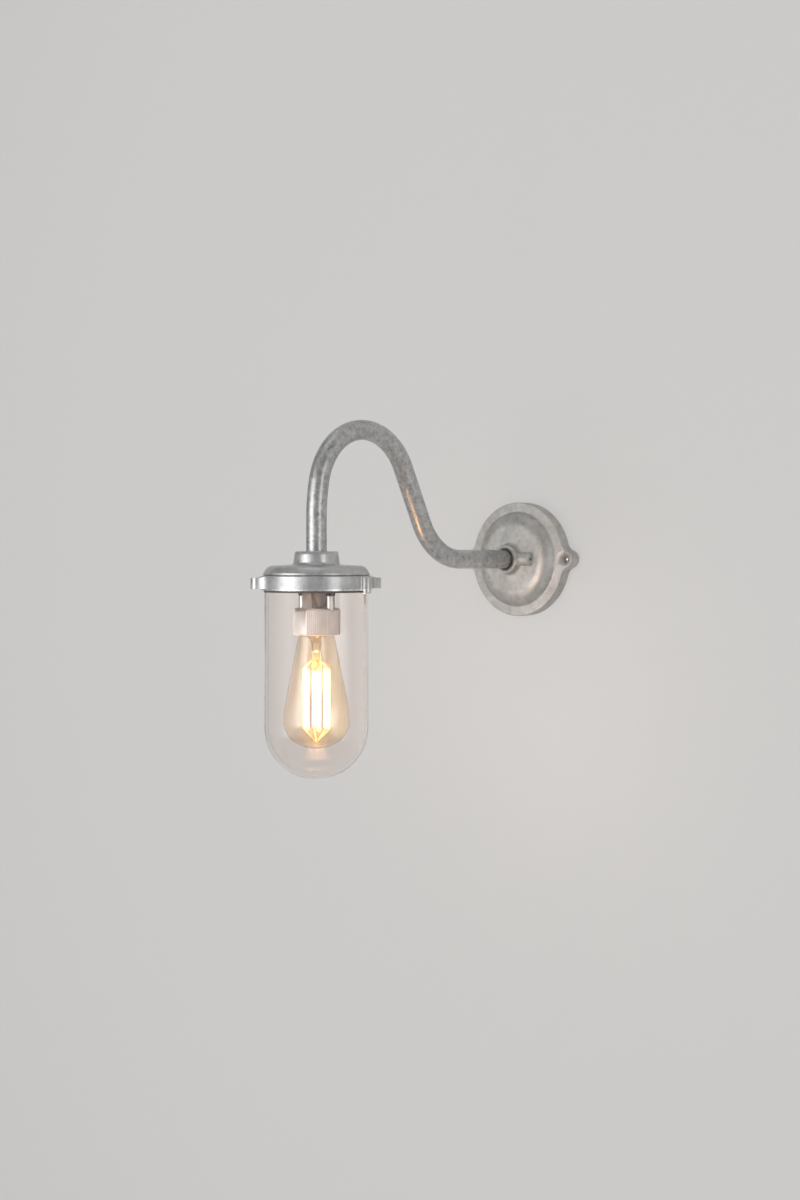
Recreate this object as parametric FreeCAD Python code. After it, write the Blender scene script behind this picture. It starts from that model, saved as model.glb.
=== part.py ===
"""Gooseneck wall sconce: a cast rose on the wall, a swan-neck tube, and a well glass round a filament bulb.

Millimetres. The origin is the centre of the rose on the wall, +Z is up and the lamp stands out along -Y.
Depth in the comments is the distance from the wall, which is -Y.
"""

import FreeCAD
import Part
import math
import os

V = FreeCAD.Vector
X_AXIS = V(1, 0, 0)
Y_AXIS = V(0, 1, 0)
Z_AXIS = V(0, 0, 1)
DOWN = V(0, 0, -1)

# ---- driving dimensions -------------------------------------------------------------------------
PROJECTION = 325.0            # wall to the lamp's axis
GAP = 0.05                    # between pieces that are screwed or pressed together
EASE = 0.3                    # between pieces that move past each other
PAST = 1.0                    # how far a cutting tool runs past the face that it cuts

# swan-neck tube: 20 mm conduit, bent by hand, so the leg leans a little before the arch
TUBE_R = 10.0
TUBE_WALL = 1.6
LEG_TOP = 41.0                # height where the upright leg starts to lean
LEAN_R = 175.0
LEAN_TURN = 12.0              # degrees
ARCH_R = 64.5
FALL_ANGLE = 63.2             # degrees below the horizontal, between the arch and the low bend
LOW_BEND_R = 67.8
TUBE_WALL_END = 16.5          # depth of the end inside the rose
TUBE_LAMP_END = -17.0         # height of the end inside the gallery
TUBE_MOUTH_EASE = 1.6         # dark gap where the tube enters a casting
TUBE_MOUTH_DEEP = 2.5
LOCKNUT_FLATS = 27.0
LOCKNUT_THICK = 4.5

# wall rose
ROSE_R = 62.5
RIM_DEPTH = 13.5
RIM_EDGE = 0.9
ROSE_WALL = 3.5
RIM_FRONT_WALL = 4.0
DOME_R = 52.8                 # to where the shoulder would stand upright
DOME_SHOULDER = 18.0          # radius of the dome's rounded shoulder
DOME_DEPTH = 25.0
DOME_CROWN = 0.9
DOME_FILLET = 2.5             # hollow between the dome and the rim's face
BOSS_R = 15.8
BOSS_DEPTH = 35.8
BOSS_FILLET = 3.5
BOSS_EDGE = 1.6
CAVITY_DEPTH = DOME_DEPTH - ROSE_WALL
RIM_CAVITY_R = 54.5
GASKET_SEAT_R = 58.5
GASKET_THICK = 3.0
FIXING_X = 65.0               # wall screws, either side of the axis
FIXING_LUG_R = 9.5
FIXING_BLEND = 12.0
FIXING_HOLE_R = 2.75
FIXING_HEAD_R = 4.3
FIXING_HEAD_DEEP = 6.0
SET_BOSS_R = 7.0
SET_BOSS_X = 30.6
SET_BOSS_DEPTH = 27.8
SET_BOSS_EDGE = 2.4
SET_SCREW_R = 2.5
SET_SCREW_SUNK = 0.6          # below the boss's end
SOCKET_FLATS = 2.5
SOCKET_DEEP = 3.0

# what the rose holds
TERMINAL_Z = -29.0
TERMINAL_PAD = 1.0
TERMINAL_PAD_R = 4.5
TERMINAL_PITCH = 9.0
TERMINAL_HEIGHT = 13.0
TERMINAL_BREADTH = 16.0
TERMINAL_FLOOR = 3.0
TOWER_WIDTH = 7.6
TOWER_HEIGHT = 12.0
TERMINAL_HOLE_R = 1.9
CLAMP_WELL_R = 2.1            # of the wire clamp screws, two in each tower
CLAMP_GRUB_R = 1.9
CLAMP_GRUB_LENGTH = 2.4
CLAMP_GRUB_SUNK = 2.0
GRUB_SLOT_WIDTH = 0.7
GRUB_SLOT_DEEP = 0.8
TERMINAL_BASE = CAVITY_DEPTH - TERMINAL_PAD - GAP
TERMINAL_TOP = TERMINAL_BASE - TERMINAL_HEIGHT
TERMINAL_WIRE_DEPTH = TERMINAL_TOP + 6.5
TERMINAL_SCREW_R = 1.45
POLES = [-TERMINAL_PITCH, 0.0, TERMINAL_PITCH]
SCREW_ROWS = [TERMINAL_Z - 4.5, TERMINAL_Z + 4.5]
BLOCK_SCREW_THREAD = 1.3      # length of the block's own screw in the casting
BLOCK_SCREW_HEAD = TERMINAL_TOP + 9.0
ROSE_EARTH = (-27.0, 16.0)    # x and z
ROSE_EARTH_BOSS = 5.0
ROSE_EARTH_PAD_R = 5.0
ROSE_EARTH_LENGTH = 8.5
BORE_PAST_ROOF = 1.5          # of blind screw holes, into the casting above the hollow
EARTH_SCREW_R = 2.0
EARTH_HEAD_R = 3.8
EARTH_HEAD_THICK = 2.4
CORE_R = 1.2
CORE_RING = 1.7               # the three cores lie round the flex's axis
FLEX_R = 3.6
ROSE_CORE_BEND = 3.0
LAMP_CORE_BEND = 1.8
FLEX_LAMP_END = TUBE_LAMP_END - 1.5
FLEX_WALL_END = TUBE_WALL_END - 2.0

# gallery: the cast cap over the glass
COLLAR_TOP = 7.5
COLLAR_R = 20.9
COLLAR_BASE_R = 22.2
COLLAR_EDGE = 0.8
COLLAR_FILLET = 3.0
SHOULDER_TOP = -5.4
SHOULDER_R = 42.3
SHOULDER_DROP = 0.8
SHOULDER_BEND_R = 8.0
SHOULDER_BEND = 58.0          # degrees
CAP_R = 52.0
CAP_FOOT = -14.9
GROOVE_DEEP = 1.1             # the dark line between the cap and its band
BAND_TOP = -15.9
BAND_BOTTOM = -28.2
BAND_R = 53.8
BAND_EDGE = 0.6
BAND_BORE_R = 52.1
SEAT_HEIGHT = -22.5
GALLERY_BORE_R = 46.0
ROOF_HEIGHT = -10.5
ROOF_FILLET = 4.5
EAR_ANGLES = (60.0, 240.0)    # degrees from +X, seen from above
EAR_CENTRE_R = 58.3
EAR_R = 6.5
EAR_BLEND = 16.0
EAR_TOP = -17.9
EAR_HOLE_R = 2.6
CLAMP_ANGLES = (13.0, 193.0)
CLAMP_CENTRE_R = 56.0
CLAMP_BOSS_R = 5.0
CLAMP_BLEND = 3.0
CLAMP_SCREW_R = 2.0
CLAMP_SCREW_EASE = 0.1
CLAMP_HEAD_R = 4.4
CLAMP_HEAD_THICK = 2.8
CLAMP_SCREW_LENGTH = 9.0
GALLERY_EARTH = (-4.0, 30.0)  # x and y from the lamp's axis
GALLERY_EARTH_BOSS = 3.0
GALLERY_EARTH_PAD_R = 4.5
GALLERY_EARTH_LENGTH = 6.5
EARTH_WIRE_ROOM = 2.6         # between an earth boss and its screw's head

# glass and its ring
GLASS_R = 50.0
GLASS_WALL = 3.5
GLASS_BOTTOM = -212.0
FLANGE_R = 51.8
FLANGE_TOP = -24.2
FLANGE_BOTTOM = -27.3
FLANGE_EDGE = 0.6
RING_THICK = 1.6
RING_BORE_R = 50.8
RING_R = 53.4
RING_LOBE_R = 4.8
SLEEVE_R = 50.6
SLEEVE_BOTTOM = -31.8

# lampholder
SKIRT_R = 22.9
SKIRT_TOP = -47.0
SKIRT_BOTTOM = -73.0
SKIRT_TOP_ROUND = 3.0
SKIRT_EDGE = 1.5
MOUTH_R = 18.6
MOUTH_TOP = -66.0
SHELL_R = 14.3
SHELL_WALL = 0.8
SHELL_TOP = -50.6
HOLDER_FLOOR = -49.2
BLOCK_X = 13.0
BLOCK_Y = 26.2
BLOCK_TOP = -27.0
BLOCK_EDGE = 0.8
CONTACT_WELL_R = 5.4
CONTACT_ROOF = -42.5
CONE_TOP = -46.3              # the hollow over the shoulder of the bulb's cap
CONE_TOP_R = 5.8
CONE_FOOT_R = 11.9
WELL_Y = 8.0                  # terminal wells, either side of the axis
WELL_DEEP = 7.0
WELL_WIDE = 7.0               # along x
WELL_LONG = 6.0               # along y
LAMP_TERMINAL = (6.6, 5.6, 5.2)
LAMP_TERMINAL_BORE = 5.0
CONTACT_THICK = 0.6
CONTACT_WIDTH = 5.0
CONTACT_REACH = 4.0           # either side of the axis
NOTCH_X = 7.8                 # wire notches in the skirt's top, front and back
NOTCH_Y = 16.0
NOTCH_DEEP = 3.0
NOTCH_LONG = 10.0
PILLAR_X = 18.9
PILLAR_R = 4.1
PILLAR_FOOT = -49.0
PILLAR_TOP = -35.0
PILLAR_WELL_EASE = 0.4
PILLAR_CHAMFER = 0.4
BUSH_R = 4.6
BUSH_TOP = -28.0
HOLDER_SCREW_R = 2.0
HOLDER_SCREW_EASE = 0.15
HOLDER_SCREW_TOP = BUSH_TOP + 8.0
HOLDER_HEAD_R = 3.0
HOLDER_HEAD_THICK = 2.4
HOLDER_HEAD_SEAT = -61.0
HOLDER_WELL_R = 3.3
PANEL_ANGLES = (45.0, 135.0, 225.0, 315.0)
PANEL_RIBS = 10
RIB_PITCH = 5.0               # degrees
RIB_DEEP = 0.7

# bulb
CAP_TOP = -50.0
CAP_BOTTOM = -70.0
CAP_SHELL_R = 13.1
CAP_CROWN_R = 11.4
CAP_WALL = 0.5
BULB_TIP = -45.9
BULB_R = 32.0
BULB_WIDEST = -156.5
BULB_BOTTOM = -182.8
BULB_WALL = 0.9
BULB_SIDE_R = 24.0            # of the arc below the widest part
NECK_R = 16.2
NECK_FOOT = (18.0, -76.0)     # radius and height, as in the next four
FLANK_MIDDLE = (23.6, -106.0)
FLANK_FOOT = (30.2, -136.0)
HIP = (31.6, -146.0)
STEM_FLARE = (15.6, -71.5)
STEM_THROAT = (7.4, -75.0)
STEM_WAIST = (4.6, -82.5)
STEM_R = 4.2                  # at its narrowest, just above the head
STEM_HEAD_R = 4.9
STEM_TIP = -108.5
STEM_WALL = 1.2
STEM_HOLLOW_END = -90.0
FILAMENTS = 6
FILAMENT_FIRST = 22.3         # degrees from +X
FILAMENT_RING_R = 11.5
FILAMENT_TOP = -105.0
FILAMENT_BOTTOM = -164.0
FILAMENT_R = 1.1
LEAD_R = 0.35
LEAD_ROOT = -97.5             # height where the upper leads leave the stem
HUB_HEIGHT = -176.0
HUB_R = 1.2                   # and half its height
DRIVER_TOP = -53.0
DRIVER_BOTTOM = -66.0

OUT = "parts"


# ---- outlines -----------------------------------------------------------------------------------
def polar(radius, degrees):
    angle = math.radians(degrees)
    return (radius * math.cos(angle), radius * math.sin(angle))


def stepped(at, degrees, length):
    """The point at this length from a flat point, in this direction."""
    across, up = polar(length, degrees)
    return (at[0] + across, at[1] + up)


def toward(at, other, length):
    """The point at this length from a flat point, on the way to another."""
    share = length / math.dist(at, other)
    return (at[0] + (other[0] - at[0]) * share, at[1] + (other[1] - at[1]) * share)


def corner(start, end, centre):
    """One arc step of an outline, from start to end the short way about centre."""
    half_way = ((start[0] + end[0]) / 2, (start[1] + end[1]) / 2)
    return [toward(centre, half_way, math.dist(centre, start)), end]


def chain(points):
    """Edges through points. A point is a line's end; a list is an arc's middle and its end."""
    edges = []
    at = points[0]
    for step in points[1:]:
        end = step[-1] if isinstance(step, list) else step
        if isinstance(step, list):
            edges.append(Part.Arc(at, step[0], end).toShape())
        elif at.distanceToPoint(end) > 1e-6:
            edges.append(Part.LineSegment(at, end).toShape())
        at = end
    return edges


def placed(points, put):
    """The same outline with each flat point put in space by put."""
    return [[put(*p) for p in step] if isinstance(step, list) else put(*step) for step in points]


def outline_face(points, put):
    return Part.Face(Part.Wire(chain(placed(list(points) + [points[0]], put))))


def lamp_spun(points):
    """Turned round the lamp's upright axis: points are (radius, height)."""
    face = outline_face(points, lambda r, z: V(r, -PROJECTION, z))
    return face.revolve(V(0, -PROJECTION, 0), Z_AXIS, 360)


def rose_spun(points):
    """Turned round the rose's axis: points are (radius, depth)."""
    face = outline_face(points, lambda r, depth: V(r, -depth, 0))
    return face.revolve(V(0, 0, 0), Y_AXIS, 360)


def lug_steps(radius, degrees, centre_r, lug_r, blend):
    """One round lug on a disc, blended into the rim by a hollow arc on both sides.

    Returns the angles where it leaves and meets the rim, and the outline steps between them.
    """
    reach = radius + blend
    along = (reach ** 2 - (lug_r + blend) ** 2 + centre_r ** 2) / (2 * centre_r)
    spread = math.degrees(math.acos(along / reach))
    middle = polar(centre_r, degrees)
    before, after = [polar(reach, degrees + side * spread) for side in (-1, 1)]
    lug_in, lug_out = [toward(middle, hollow, lug_r) for hollow in (before, after)]
    rim_in, rim_out = polar(radius, degrees - spread), polar(radius, degrees + spread)
    steps = [corner(rim_in, lug_in, before), [polar(centre_r + lug_r, degrees), lug_out],
             corner(lug_out, rim_out, after)]
    return degrees - spread, degrees + spread, steps


def lugged_outline(radius, lugs):
    """A disc with lugs, each (degrees, centre radius, lug radius, blend radius), in order of angle."""
    made = [lug_steps(radius, *lug) for lug in lugs]
    outline = [polar(radius, made[0][0])]
    for place, (_, leave, steps) in enumerate(made):
        arrive = made[place + 1][0] if place + 1 < len(made) else made[0][0] + 360
        outline += steps + [[polar(radius, (leave + arrive) / 2), polar(radius, arrive)]]
    outline[-1][-1] = outline[0]
    return outline


# ---- solids -------------------------------------------------------------------------------------
def lugged_slab(radius, lugs, put, travel):
    """A slab of the lugged outline, put in space and pushed along travel."""
    return Part.Face(Part.Wire(chain(placed(lugged_outline(radius, lugs), put)))).extrude(travel)


def at_lamp(x, y, z):
    """A point given from the lamp's axis."""
    return V(x, y - PROJECTION, z)


def rod(radius, start, end):
    """A round rod from start to end."""
    along = end.sub(start)
    return Part.makeCylinder(radius, along.Length, start, along)


def lamp_rod(radius, x, y, top, bottom):
    """An upright rod, placed from the lamp's axis."""
    return rod(radius, at_lamp(x, y, top), at_lamp(x, y, bottom))


def deep_rod(radius, x, z, start, end):
    """A rod square to the wall, between two depths."""
    return rod(radius, V(x, -start, z), V(x, -end, z))


def cross_pair(direction):
    """Two directions square to this one and to each other."""
    side = direction.cross(Z_AXIS if abs(direction.z) < 0.9 else X_AXIS).normalize()
    return side, direction.cross(side)


def hex_bar(across_flats, start, along):
    """A hexagonal bar from start, as long as the vector along."""
    side, other = cross_pair(V(along).normalize())
    places = [polar(across_flats / math.sqrt(3), 60 * turn) for turn in range(6)]
    points = [start.add(side * a).add(other * b) for a, b in places]
    return Part.Face(Part.makePolygon(points + [points[0]])).extrude(along)


def locknut(centre, along):
    """A thin hexagonal conduit nut on the tube, as thick as the vector along."""
    bore = rod(TUBE_R + GAP, centre.sub(along), centre.add(along * 2))
    return hex_bar(LOCKNUT_FLATS, centre, along).cut(bore)


def pan_screw(radius, head_r, head_thick, seat, direction, length):
    """A slotted pan-head screw. seat is under the head, and direction points out of the head."""
    slot_width = 0.9
    head = rod(head_r, seat, seat.add(direction * head_thick))
    rim = [e for e in head.Edges if e.Closed and e.CenterOfMass.sub(seat).dot(direction) > head_thick / 2]
    head = head.makeFillet(head_thick * 0.45, rim)
    shank = rod(radius, seat, seat.sub(direction * length))
    side, other = cross_pair(direction)
    floor = seat.add(direction * (head_thick * 0.55))
    corners = [floor.add(side * (a * head_r * 1.2)).add(other * (b * slot_width / 2))
               for a, b in ((-1, -1), (1, -1), (1, 1), (-1, 1))]
    slot = Part.Face(Part.makePolygon(corners + [corners[0]])).extrude(direction * head_thick)
    return head.fuse(shank).removeSplitter().cut(slot)


def cut_all(shape, tools):
    for tool in tools:
        shape = shape.cut(tool)
    return shape


def fuse_all(shapes):
    return shapes[0].multiFuse(shapes[1:]).removeSplitter()


def group(shapes):
    return Part.makeCompound(shapes)


# ---- swan-neck tube -----------------------------------------------------------------------------
def bend(at, heading, radius, turn):
    """An arc step that leaves at along heading and turns by this many degrees, left positive."""
    side = math.copysign(90.0, turn)
    centre = stepped(at, heading + side, radius)
    middle = stepped(centre, heading - side + turn / 2, radius)
    return [middle, stepped(centre, heading - side + turn, radius)]


def neck_path(lamp_end, wall_end):
    """The tube's centre line, walked from inside the gallery to inside the rose."""
    leg_foot = (-PROJECTION, lamp_end)
    leg_top = (-PROJECTION, LEG_TOP)
    lean = bend(leg_top, 90.0, LEAN_R, -LEAN_TURN)
    arch = bend(lean[-1], 90.0 - LEAN_TURN, ARCH_R, LEAN_TURN - 90.0 - FALL_ANGLE)
    fall = math.radians(FALL_ANGLE)
    straight = (arch[-1][1] - LOW_BEND_R * (1 - math.cos(fall))) / math.sin(fall)
    low_start = stepped(arch[-1], -FALL_ANGLE, straight)
    low = bend(low_start, -FALL_ANGLE, LOW_BEND_R, FALL_ANGLE)
    steps = [leg_foot, leg_top, lean, arch, low_start, low, (-wall_end, 0.0)]
    return Part.Wire(chain(placed(steps, lambda y, z: V(0, y, z))))


def along_neck(radius, lamp_end, wall_end):
    """A round bar along the neck."""
    ring = Part.Wire([Part.Circle(V(0, -PROJECTION, lamp_end), Z_AXIS, radius).toShape()])
    return neck_path(lamp_end, wall_end).makePipeShell([ring], True, False)


def arm_tube():
    outside = along_neck(TUBE_R, TUBE_LAMP_END, TUBE_WALL_END)
    return outside.cut(along_neck(TUBE_R - TUBE_WALL, TUBE_LAMP_END, TUBE_WALL_END))


def arm_flex():
    """The round three-core flex that runs through the tube."""
    return along_neck(FLEX_R, FLEX_LAMP_END, FLEX_WALL_END)


# ---- wall rose ----------------------------------------------------------------------------------
def rose_rim():
    """The flat rim with a screw lug on each side, its front edge softened."""
    lugs = [(angle, FIXING_X, FIXING_LUG_R, FIXING_BLEND) for angle in (0.0, 180.0)]
    rim = lugged_slab(ROSE_R, lugs, lambda a, b: V(a, 0, b), V(0, -RIM_DEPTH, 0))
    front = [e for e in rim.Edges if all(abs(v.Point.y + RIM_DEPTH) < 0.01 for v in e.Vertexes)]
    return rim.makeFillet(RIM_EDGE, front)


def dome_centre():
    """The centre of the dome's shoulder, as (radius, depth)."""
    return (DOME_R - DOME_SHOULDER, DOME_DEPTH - DOME_SHOULDER)


def rose_dome():
    """The raised middle: hollow foot, rounded shoulder, a slight crown, and the tube's boss."""
    crown = DOME_DEPTH + DOME_CROWN
    centre = dome_centre()
    fillet_depth = RIM_DEPTH + DOME_FILLET
    reach = math.sqrt((DOME_SHOULDER + DOME_FILLET) ** 2 - (fillet_depth - centre[1]) ** 2)
    hollow = (centre[0] + reach, fillet_depth)
    meeting = toward(centre, hollow, DOME_SHOULDER)
    shoulder_top = (centre[0], DOME_DEPTH)
    boss_foot = (BOSS_R + BOSS_FILLET, crown)
    boss_hollow = (boss_foot[0], crown + BOSS_FILLET)
    boss_side = (BOSS_R, BOSS_DEPTH - BOSS_EDGE)
    boss_front = (BOSS_R - BOSS_EDGE, BOSS_DEPTH)
    return rose_spun([
        (0.0, RIM_DEPTH / 2), (hollow[0], RIM_DEPTH / 2), (hollow[0], RIM_DEPTH),
        corner((hollow[0], RIM_DEPTH), meeting, hollow), corner(meeting, shoulder_top, centre), boss_foot,
        corner(boss_foot, (BOSS_R, boss_hollow[1]), boss_hollow), boss_side,
        corner(boss_side, boss_front, (boss_front[0], boss_side[1])), (0.0, BOSS_DEPTH)])


def rose_cavity():
    """The hollow behind the dome, the shallower one behind the rim, and the gasket's rebate."""
    centre = dome_centre()
    inner = DOME_SHOULDER - ROSE_WALL
    rim_roof = RIM_DEPTH - RIM_FRONT_WALL
    low = (centre[0] + math.sqrt(inner ** 2 - (rim_roof - centre[1]) ** 2), rim_roof)
    return rose_spun([
        (0.0, -PAST), (GASKET_SEAT_R, -PAST), (GASKET_SEAT_R, GASKET_THICK), (RIM_CAVITY_R, GASKET_THICK),
        (RIM_CAVITY_R, rim_roof), low, corner(low, (centre[0], CAVITY_DEPTH), centre), (0.0, CAVITY_DEPTH)])


def set_screw_boss():
    """The round side boss, its end softened."""
    boss = rod(SET_BOSS_R, V(0, -SET_BOSS_DEPTH, 0), V(SET_BOSS_X, -SET_BOSS_DEPTH, 0))
    end = [e for e in boss.Edges if e.Closed and abs(e.CenterOfMass.x - SET_BOSS_X) < 0.01]
    return boss.makeFillet(SET_BOSS_EDGE, end)


def wall_rose():
    """The cast rose: a lugged rim, the dome and boss, a side boss for the set screw, hollow behind."""
    roof = CAVITY_DEPTH + PAST
    earth_x, earth_z = ROSE_EARTH
    body = fuse_all([rose_rim(), rose_dome(), set_screw_boss()]).cut(rose_cavity())
    body = fuse_all([
        body,
        deep_rod(TERMINAL_PAD_R, 0, TERMINAL_Z, roof, CAVITY_DEPTH - TERMINAL_PAD),
        deep_rod(ROSE_EARTH_PAD_R, earth_x, earth_z, roof, CAVITY_DEPTH - ROSE_EARTH_BOSS)])
    holes = [
        deep_rod(TUBE_R + GAP, 0, 0, BOSS_DEPTH + PAST, CAVITY_DEPTH - PAST),
        deep_rod(TUBE_R + TUBE_MOUTH_EASE, 0, 0, BOSS_DEPTH + PAST, BOSS_DEPTH - TUBE_MOUTH_DEEP),
        rod(SET_SCREW_R + GAP, V(0, -SET_BOSS_DEPTH, 0), V(SET_BOSS_X + PAST, -SET_BOSS_DEPTH, 0)),
        deep_rod(TERMINAL_SCREW_R + GAP, 0, TERMINAL_Z, CAVITY_DEPTH + BORE_PAST_ROOF,
                 CAVITY_DEPTH - TERMINAL_PAD - PAST),
        deep_rod(EARTH_SCREW_R + GAP, earth_x, earth_z, CAVITY_DEPTH + BORE_PAST_ROOF,
                 CAVITY_DEPTH - ROSE_EARTH_BOSS - PAST)]
    for x in (-FIXING_X, FIXING_X):
        holes.append(deep_rod(FIXING_HOLE_R, x, 0, -PAST, RIM_DEPTH + PAST))
        holes.append(deep_rod(FIXING_HEAD_R, x, 0, RIM_DEPTH - FIXING_HEAD_DEEP, RIM_DEPTH + PAST))
    return cut_all(body, holes)


def rose_gasket():
    """The rubber ring in the rebate behind the rim."""
    inner, outer = RIM_CAVITY_R + 0.15, GASKET_SEAT_R - 0.15
    return rose_spun([(inner, 0.0), (outer, 0.0), (outer, GASKET_THICK), (inner, GASKET_THICK)])


def arm_set_screw():
    """A socket grub screw that bears on the tube from the side boss."""
    end = V(SET_BOSS_X - SET_SCREW_SUNK, -SET_BOSS_DEPTH, 0)
    screw = rod(SET_SCREW_R, V(TUBE_R + GAP, -SET_BOSS_DEPTH, 0), end)
    return screw.cut(hex_bar(SOCKET_FLATS, end.add(X_AXIS * PAST), X_AXIS * -(SOCKET_DEEP + PAST)))


def rose_locknut():
    return locknut(V(0, GAP - CAVITY_DEPTH, 0), Y_AXIS * LOCKNUT_THICK)


def rose_earth_screw():
    x, z = ROSE_EARTH
    seat = V(x, ROSE_EARTH_BOSS - CAVITY_DEPTH + EARTH_WIRE_ROOM, z)
    return pan_screw(EARTH_SCREW_R, EARTH_HEAD_R, EARTH_HEAD_THICK, seat, Y_AXIS, ROSE_EARTH_LENGTH)


# ---- terminal block in the rose -----------------------------------------------------------------
def terminal_block():
    """A three-way connector strip with a wire hole and two screw wells for each pole."""
    low_z = TERMINAL_Z - TERMINAL_BREADTH / 2
    base = Part.makeBox(3 * TERMINAL_PITCH, TERMINAL_FLOOR, TERMINAL_BREADTH,
                        V(-1.5 * TERMINAL_PITCH, -TERMINAL_BASE, low_z))
    towers = [Part.makeBox(TOWER_WIDTH, TOWER_HEIGHT, TERMINAL_BREADTH,
                           V(x - TOWER_WIDTH / 2, -TERMINAL_BASE, low_z)) for x in POLES]
    tools = [deep_rod(TERMINAL_SCREW_R + EASE / 2, 0, TERMINAL_Z, TERMINAL_BASE + PAST, TERMINAL_TOP)]
    for x in POLES:
        ends = [V(x, -TERMINAL_WIRE_DEPTH, TERMINAL_Z + side * TERMINAL_BREADTH) for side in (-1, 1)]
        tools.append(rod(TERMINAL_HOLE_R, *ends))
        tools += [deep_rod(CLAMP_WELL_R, x, z, TERMINAL_WIRE_DEPTH, TERMINAL_TOP - PAST) for z in SCREW_ROWS]
    return cut_all(fuse_all([base] + towers), tools)


def terminal_screws():
    """Two slotted clamp screws for each pole, facing the wall."""
    screws = []
    head = TERMINAL_TOP + CLAMP_GRUB_SUNK
    reach = CLAMP_GRUB_R + PAST
    for x in POLES:
        for z in SCREW_ROWS:
            screw = deep_rod(CLAMP_GRUB_R, x, z, head + CLAMP_GRUB_LENGTH, head)
            slot = Part.makeBox(2 * reach, GRUB_SLOT_DEEP + PAST, GRUB_SLOT_WIDTH,
                                V(x - reach, -head - GRUB_SLOT_DEEP, z - GRUB_SLOT_WIDTH / 2))
            screws.append(screw.cut(slot))
    return group(screws)


def terminal_block_screw():
    return deep_rod(TERMINAL_SCREW_R, 0, TERMINAL_Z, CAVITY_DEPTH + BLOCK_SCREW_THREAD, BLOCK_SCREW_HEAD)


# ---- wires --------------------------------------------------------------------------------------
def rounded_route(points, radius):
    """Straight runs joined by tangent arcs of one radius."""
    path = [points[0]]
    for before, at, after in zip(points, points[1:], points[2:]):
        back = before.sub(at).normalize()
        ahead = after.sub(at).normalize()
        half = back.getAngle(ahead) / 2
        reach = radius / math.tan(half)
        bisector = V(back).add(ahead).normalize()
        middle = at.add(bisector * (radius / math.sin(half) - radius))
        path += [at.add(back * reach), [middle, at.add(ahead * reach)]]
    path.append(points[-1])
    return Part.Wire(chain(path))


def core(points, radius):
    ring = Part.Circle(points[0], points[1].sub(points[0]), CORE_R).toShape()
    return rounded_route(points, radius).makePipeShell([Part.Wire([ring])], True, False)


def rose_core(degrees, pole):
    """A core from the flex to the wire hole of its pole in the rose."""
    x, z = polar(CORE_RING, degrees)
    flex_end = FLEX_WALL_END - GAP
    return core([V(x, -flex_end, z), V(x, 5.0 - flex_end, z),
                 V(pole, -TERMINAL_WIRE_DEPTH, TERMINAL_Z + 13.0),
                 V(pole, -TERMINAL_WIRE_DEPTH, TERMINAL_Z + 1.0)], ROSE_CORE_BEND)


def holder_core(degrees, well_y):
    """A core from the flex to a terminal of the lampholder."""
    x, y = polar(CORE_RING, degrees)
    return core([at_lamp(x, y, FLEX_LAMP_END - GAP), at_lamp(x, y, -21.5),
                 at_lamp(0, well_y, -25.0), at_lamp(0, well_y, BLOCK_TOP - 4.0)], LAMP_CORE_BEND)


def gallery_earth_core(degrees):
    """The core from the flex to the gallery's earth screw."""
    x, y = polar(CORE_RING, degrees)
    earth_x, earth_y = GALLERY_EARTH
    level = ROOF_HEIGHT - GALLERY_EARTH_BOSS - EARTH_WIRE_ROOM / 2
    return core([at_lamp(x, y, FLEX_LAMP_END - GAP), at_lamp(x, y, -21.8), at_lamp(earth_x, 15.0, -20.0),
                 at_lamp(earth_x, 24.0, level), at_lamp(earth_x, earth_y - EARTH_SCREW_R - GAP, level)],
                LAMP_CORE_BEND)


def live_core():
    return group([rose_core(150.0, POLES[0]), holder_core(270.0, -WELL_Y)])


def neutral_core():
    return group([rose_core(30.0, POLES[2]), holder_core(30.0, WELL_Y)])


def earth_core():
    return group([rose_core(270.0, POLES[1]), gallery_earth_core(150.0)])


# ---- gallery ------------------------------------------------------------------------------------
def gallery_cap():
    """Collar, flat shoulder with its rounded edge, the groove and the upright band, all turned."""
    shoulder_low = SHOULDER_TOP - SHOULDER_DROP
    foot_r = COLLAR_BASE_R + COLLAR_FILLET
    foot_top = (COLLAR_BASE_R, SHOULDER_TOP + COLLAR_FILLET)
    rounding = bend((SHOULDER_R, shoulder_low), 0.0, SHOULDER_BEND_R, -SHOULDER_BEND)
    return lamp_spun([
        (0.0, COLLAR_TOP), (COLLAR_R - COLLAR_EDGE, COLLAR_TOP), (COLLAR_R, COLLAR_TOP - COLLAR_EDGE),
        foot_top, corner(foot_top, (foot_r, SHOULDER_TOP), (foot_r, foot_top[1])),
        (SHOULDER_R, shoulder_low), rounding, (CAP_R, CAP_FOOT),
        (CAP_R - GROOVE_DEEP, CAP_FOOT - 0.6), (CAP_R - GROOVE_DEEP, BAND_TOP - 0.4),
        (BAND_R - BAND_EDGE, BAND_TOP), (BAND_R, BAND_TOP - BAND_EDGE), (BAND_R, BAND_BOTTOM),
        (0.0, BAND_BOTTOM)])


def gallery_lugs():
    """Two ears and two screw bosses on the band. Their tops fall away from the band's edge."""
    ears = [(angle, EAR_CENTRE_R, EAR_R, EAR_BLEND) for angle in EAR_ANGLES]
    bosses = [(angle, CLAMP_CENTRE_R, CLAMP_BOSS_R, CLAMP_BLEND) for angle in CLAMP_ANGLES]
    top = BAND_TOP - BAND_EDGE
    fall = V(0, 0, BAND_BOTTOM - top)
    slab = lugged_slab(BAND_R, sorted(ears + bosses), lambda a, b: at_lamp(a, b, top), fall)
    far = EAR_CENTRE_R + EAR_R + 1.0
    roof = lamp_spun([(0.0, top), (BAND_R, top), (EAR_CENTRE_R, EAR_TOP), (far, EAR_TOP), (far, BAND_BOTTOM),
                      (0.0, BAND_BOTTOM)])
    return slab.common(roof)


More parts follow.
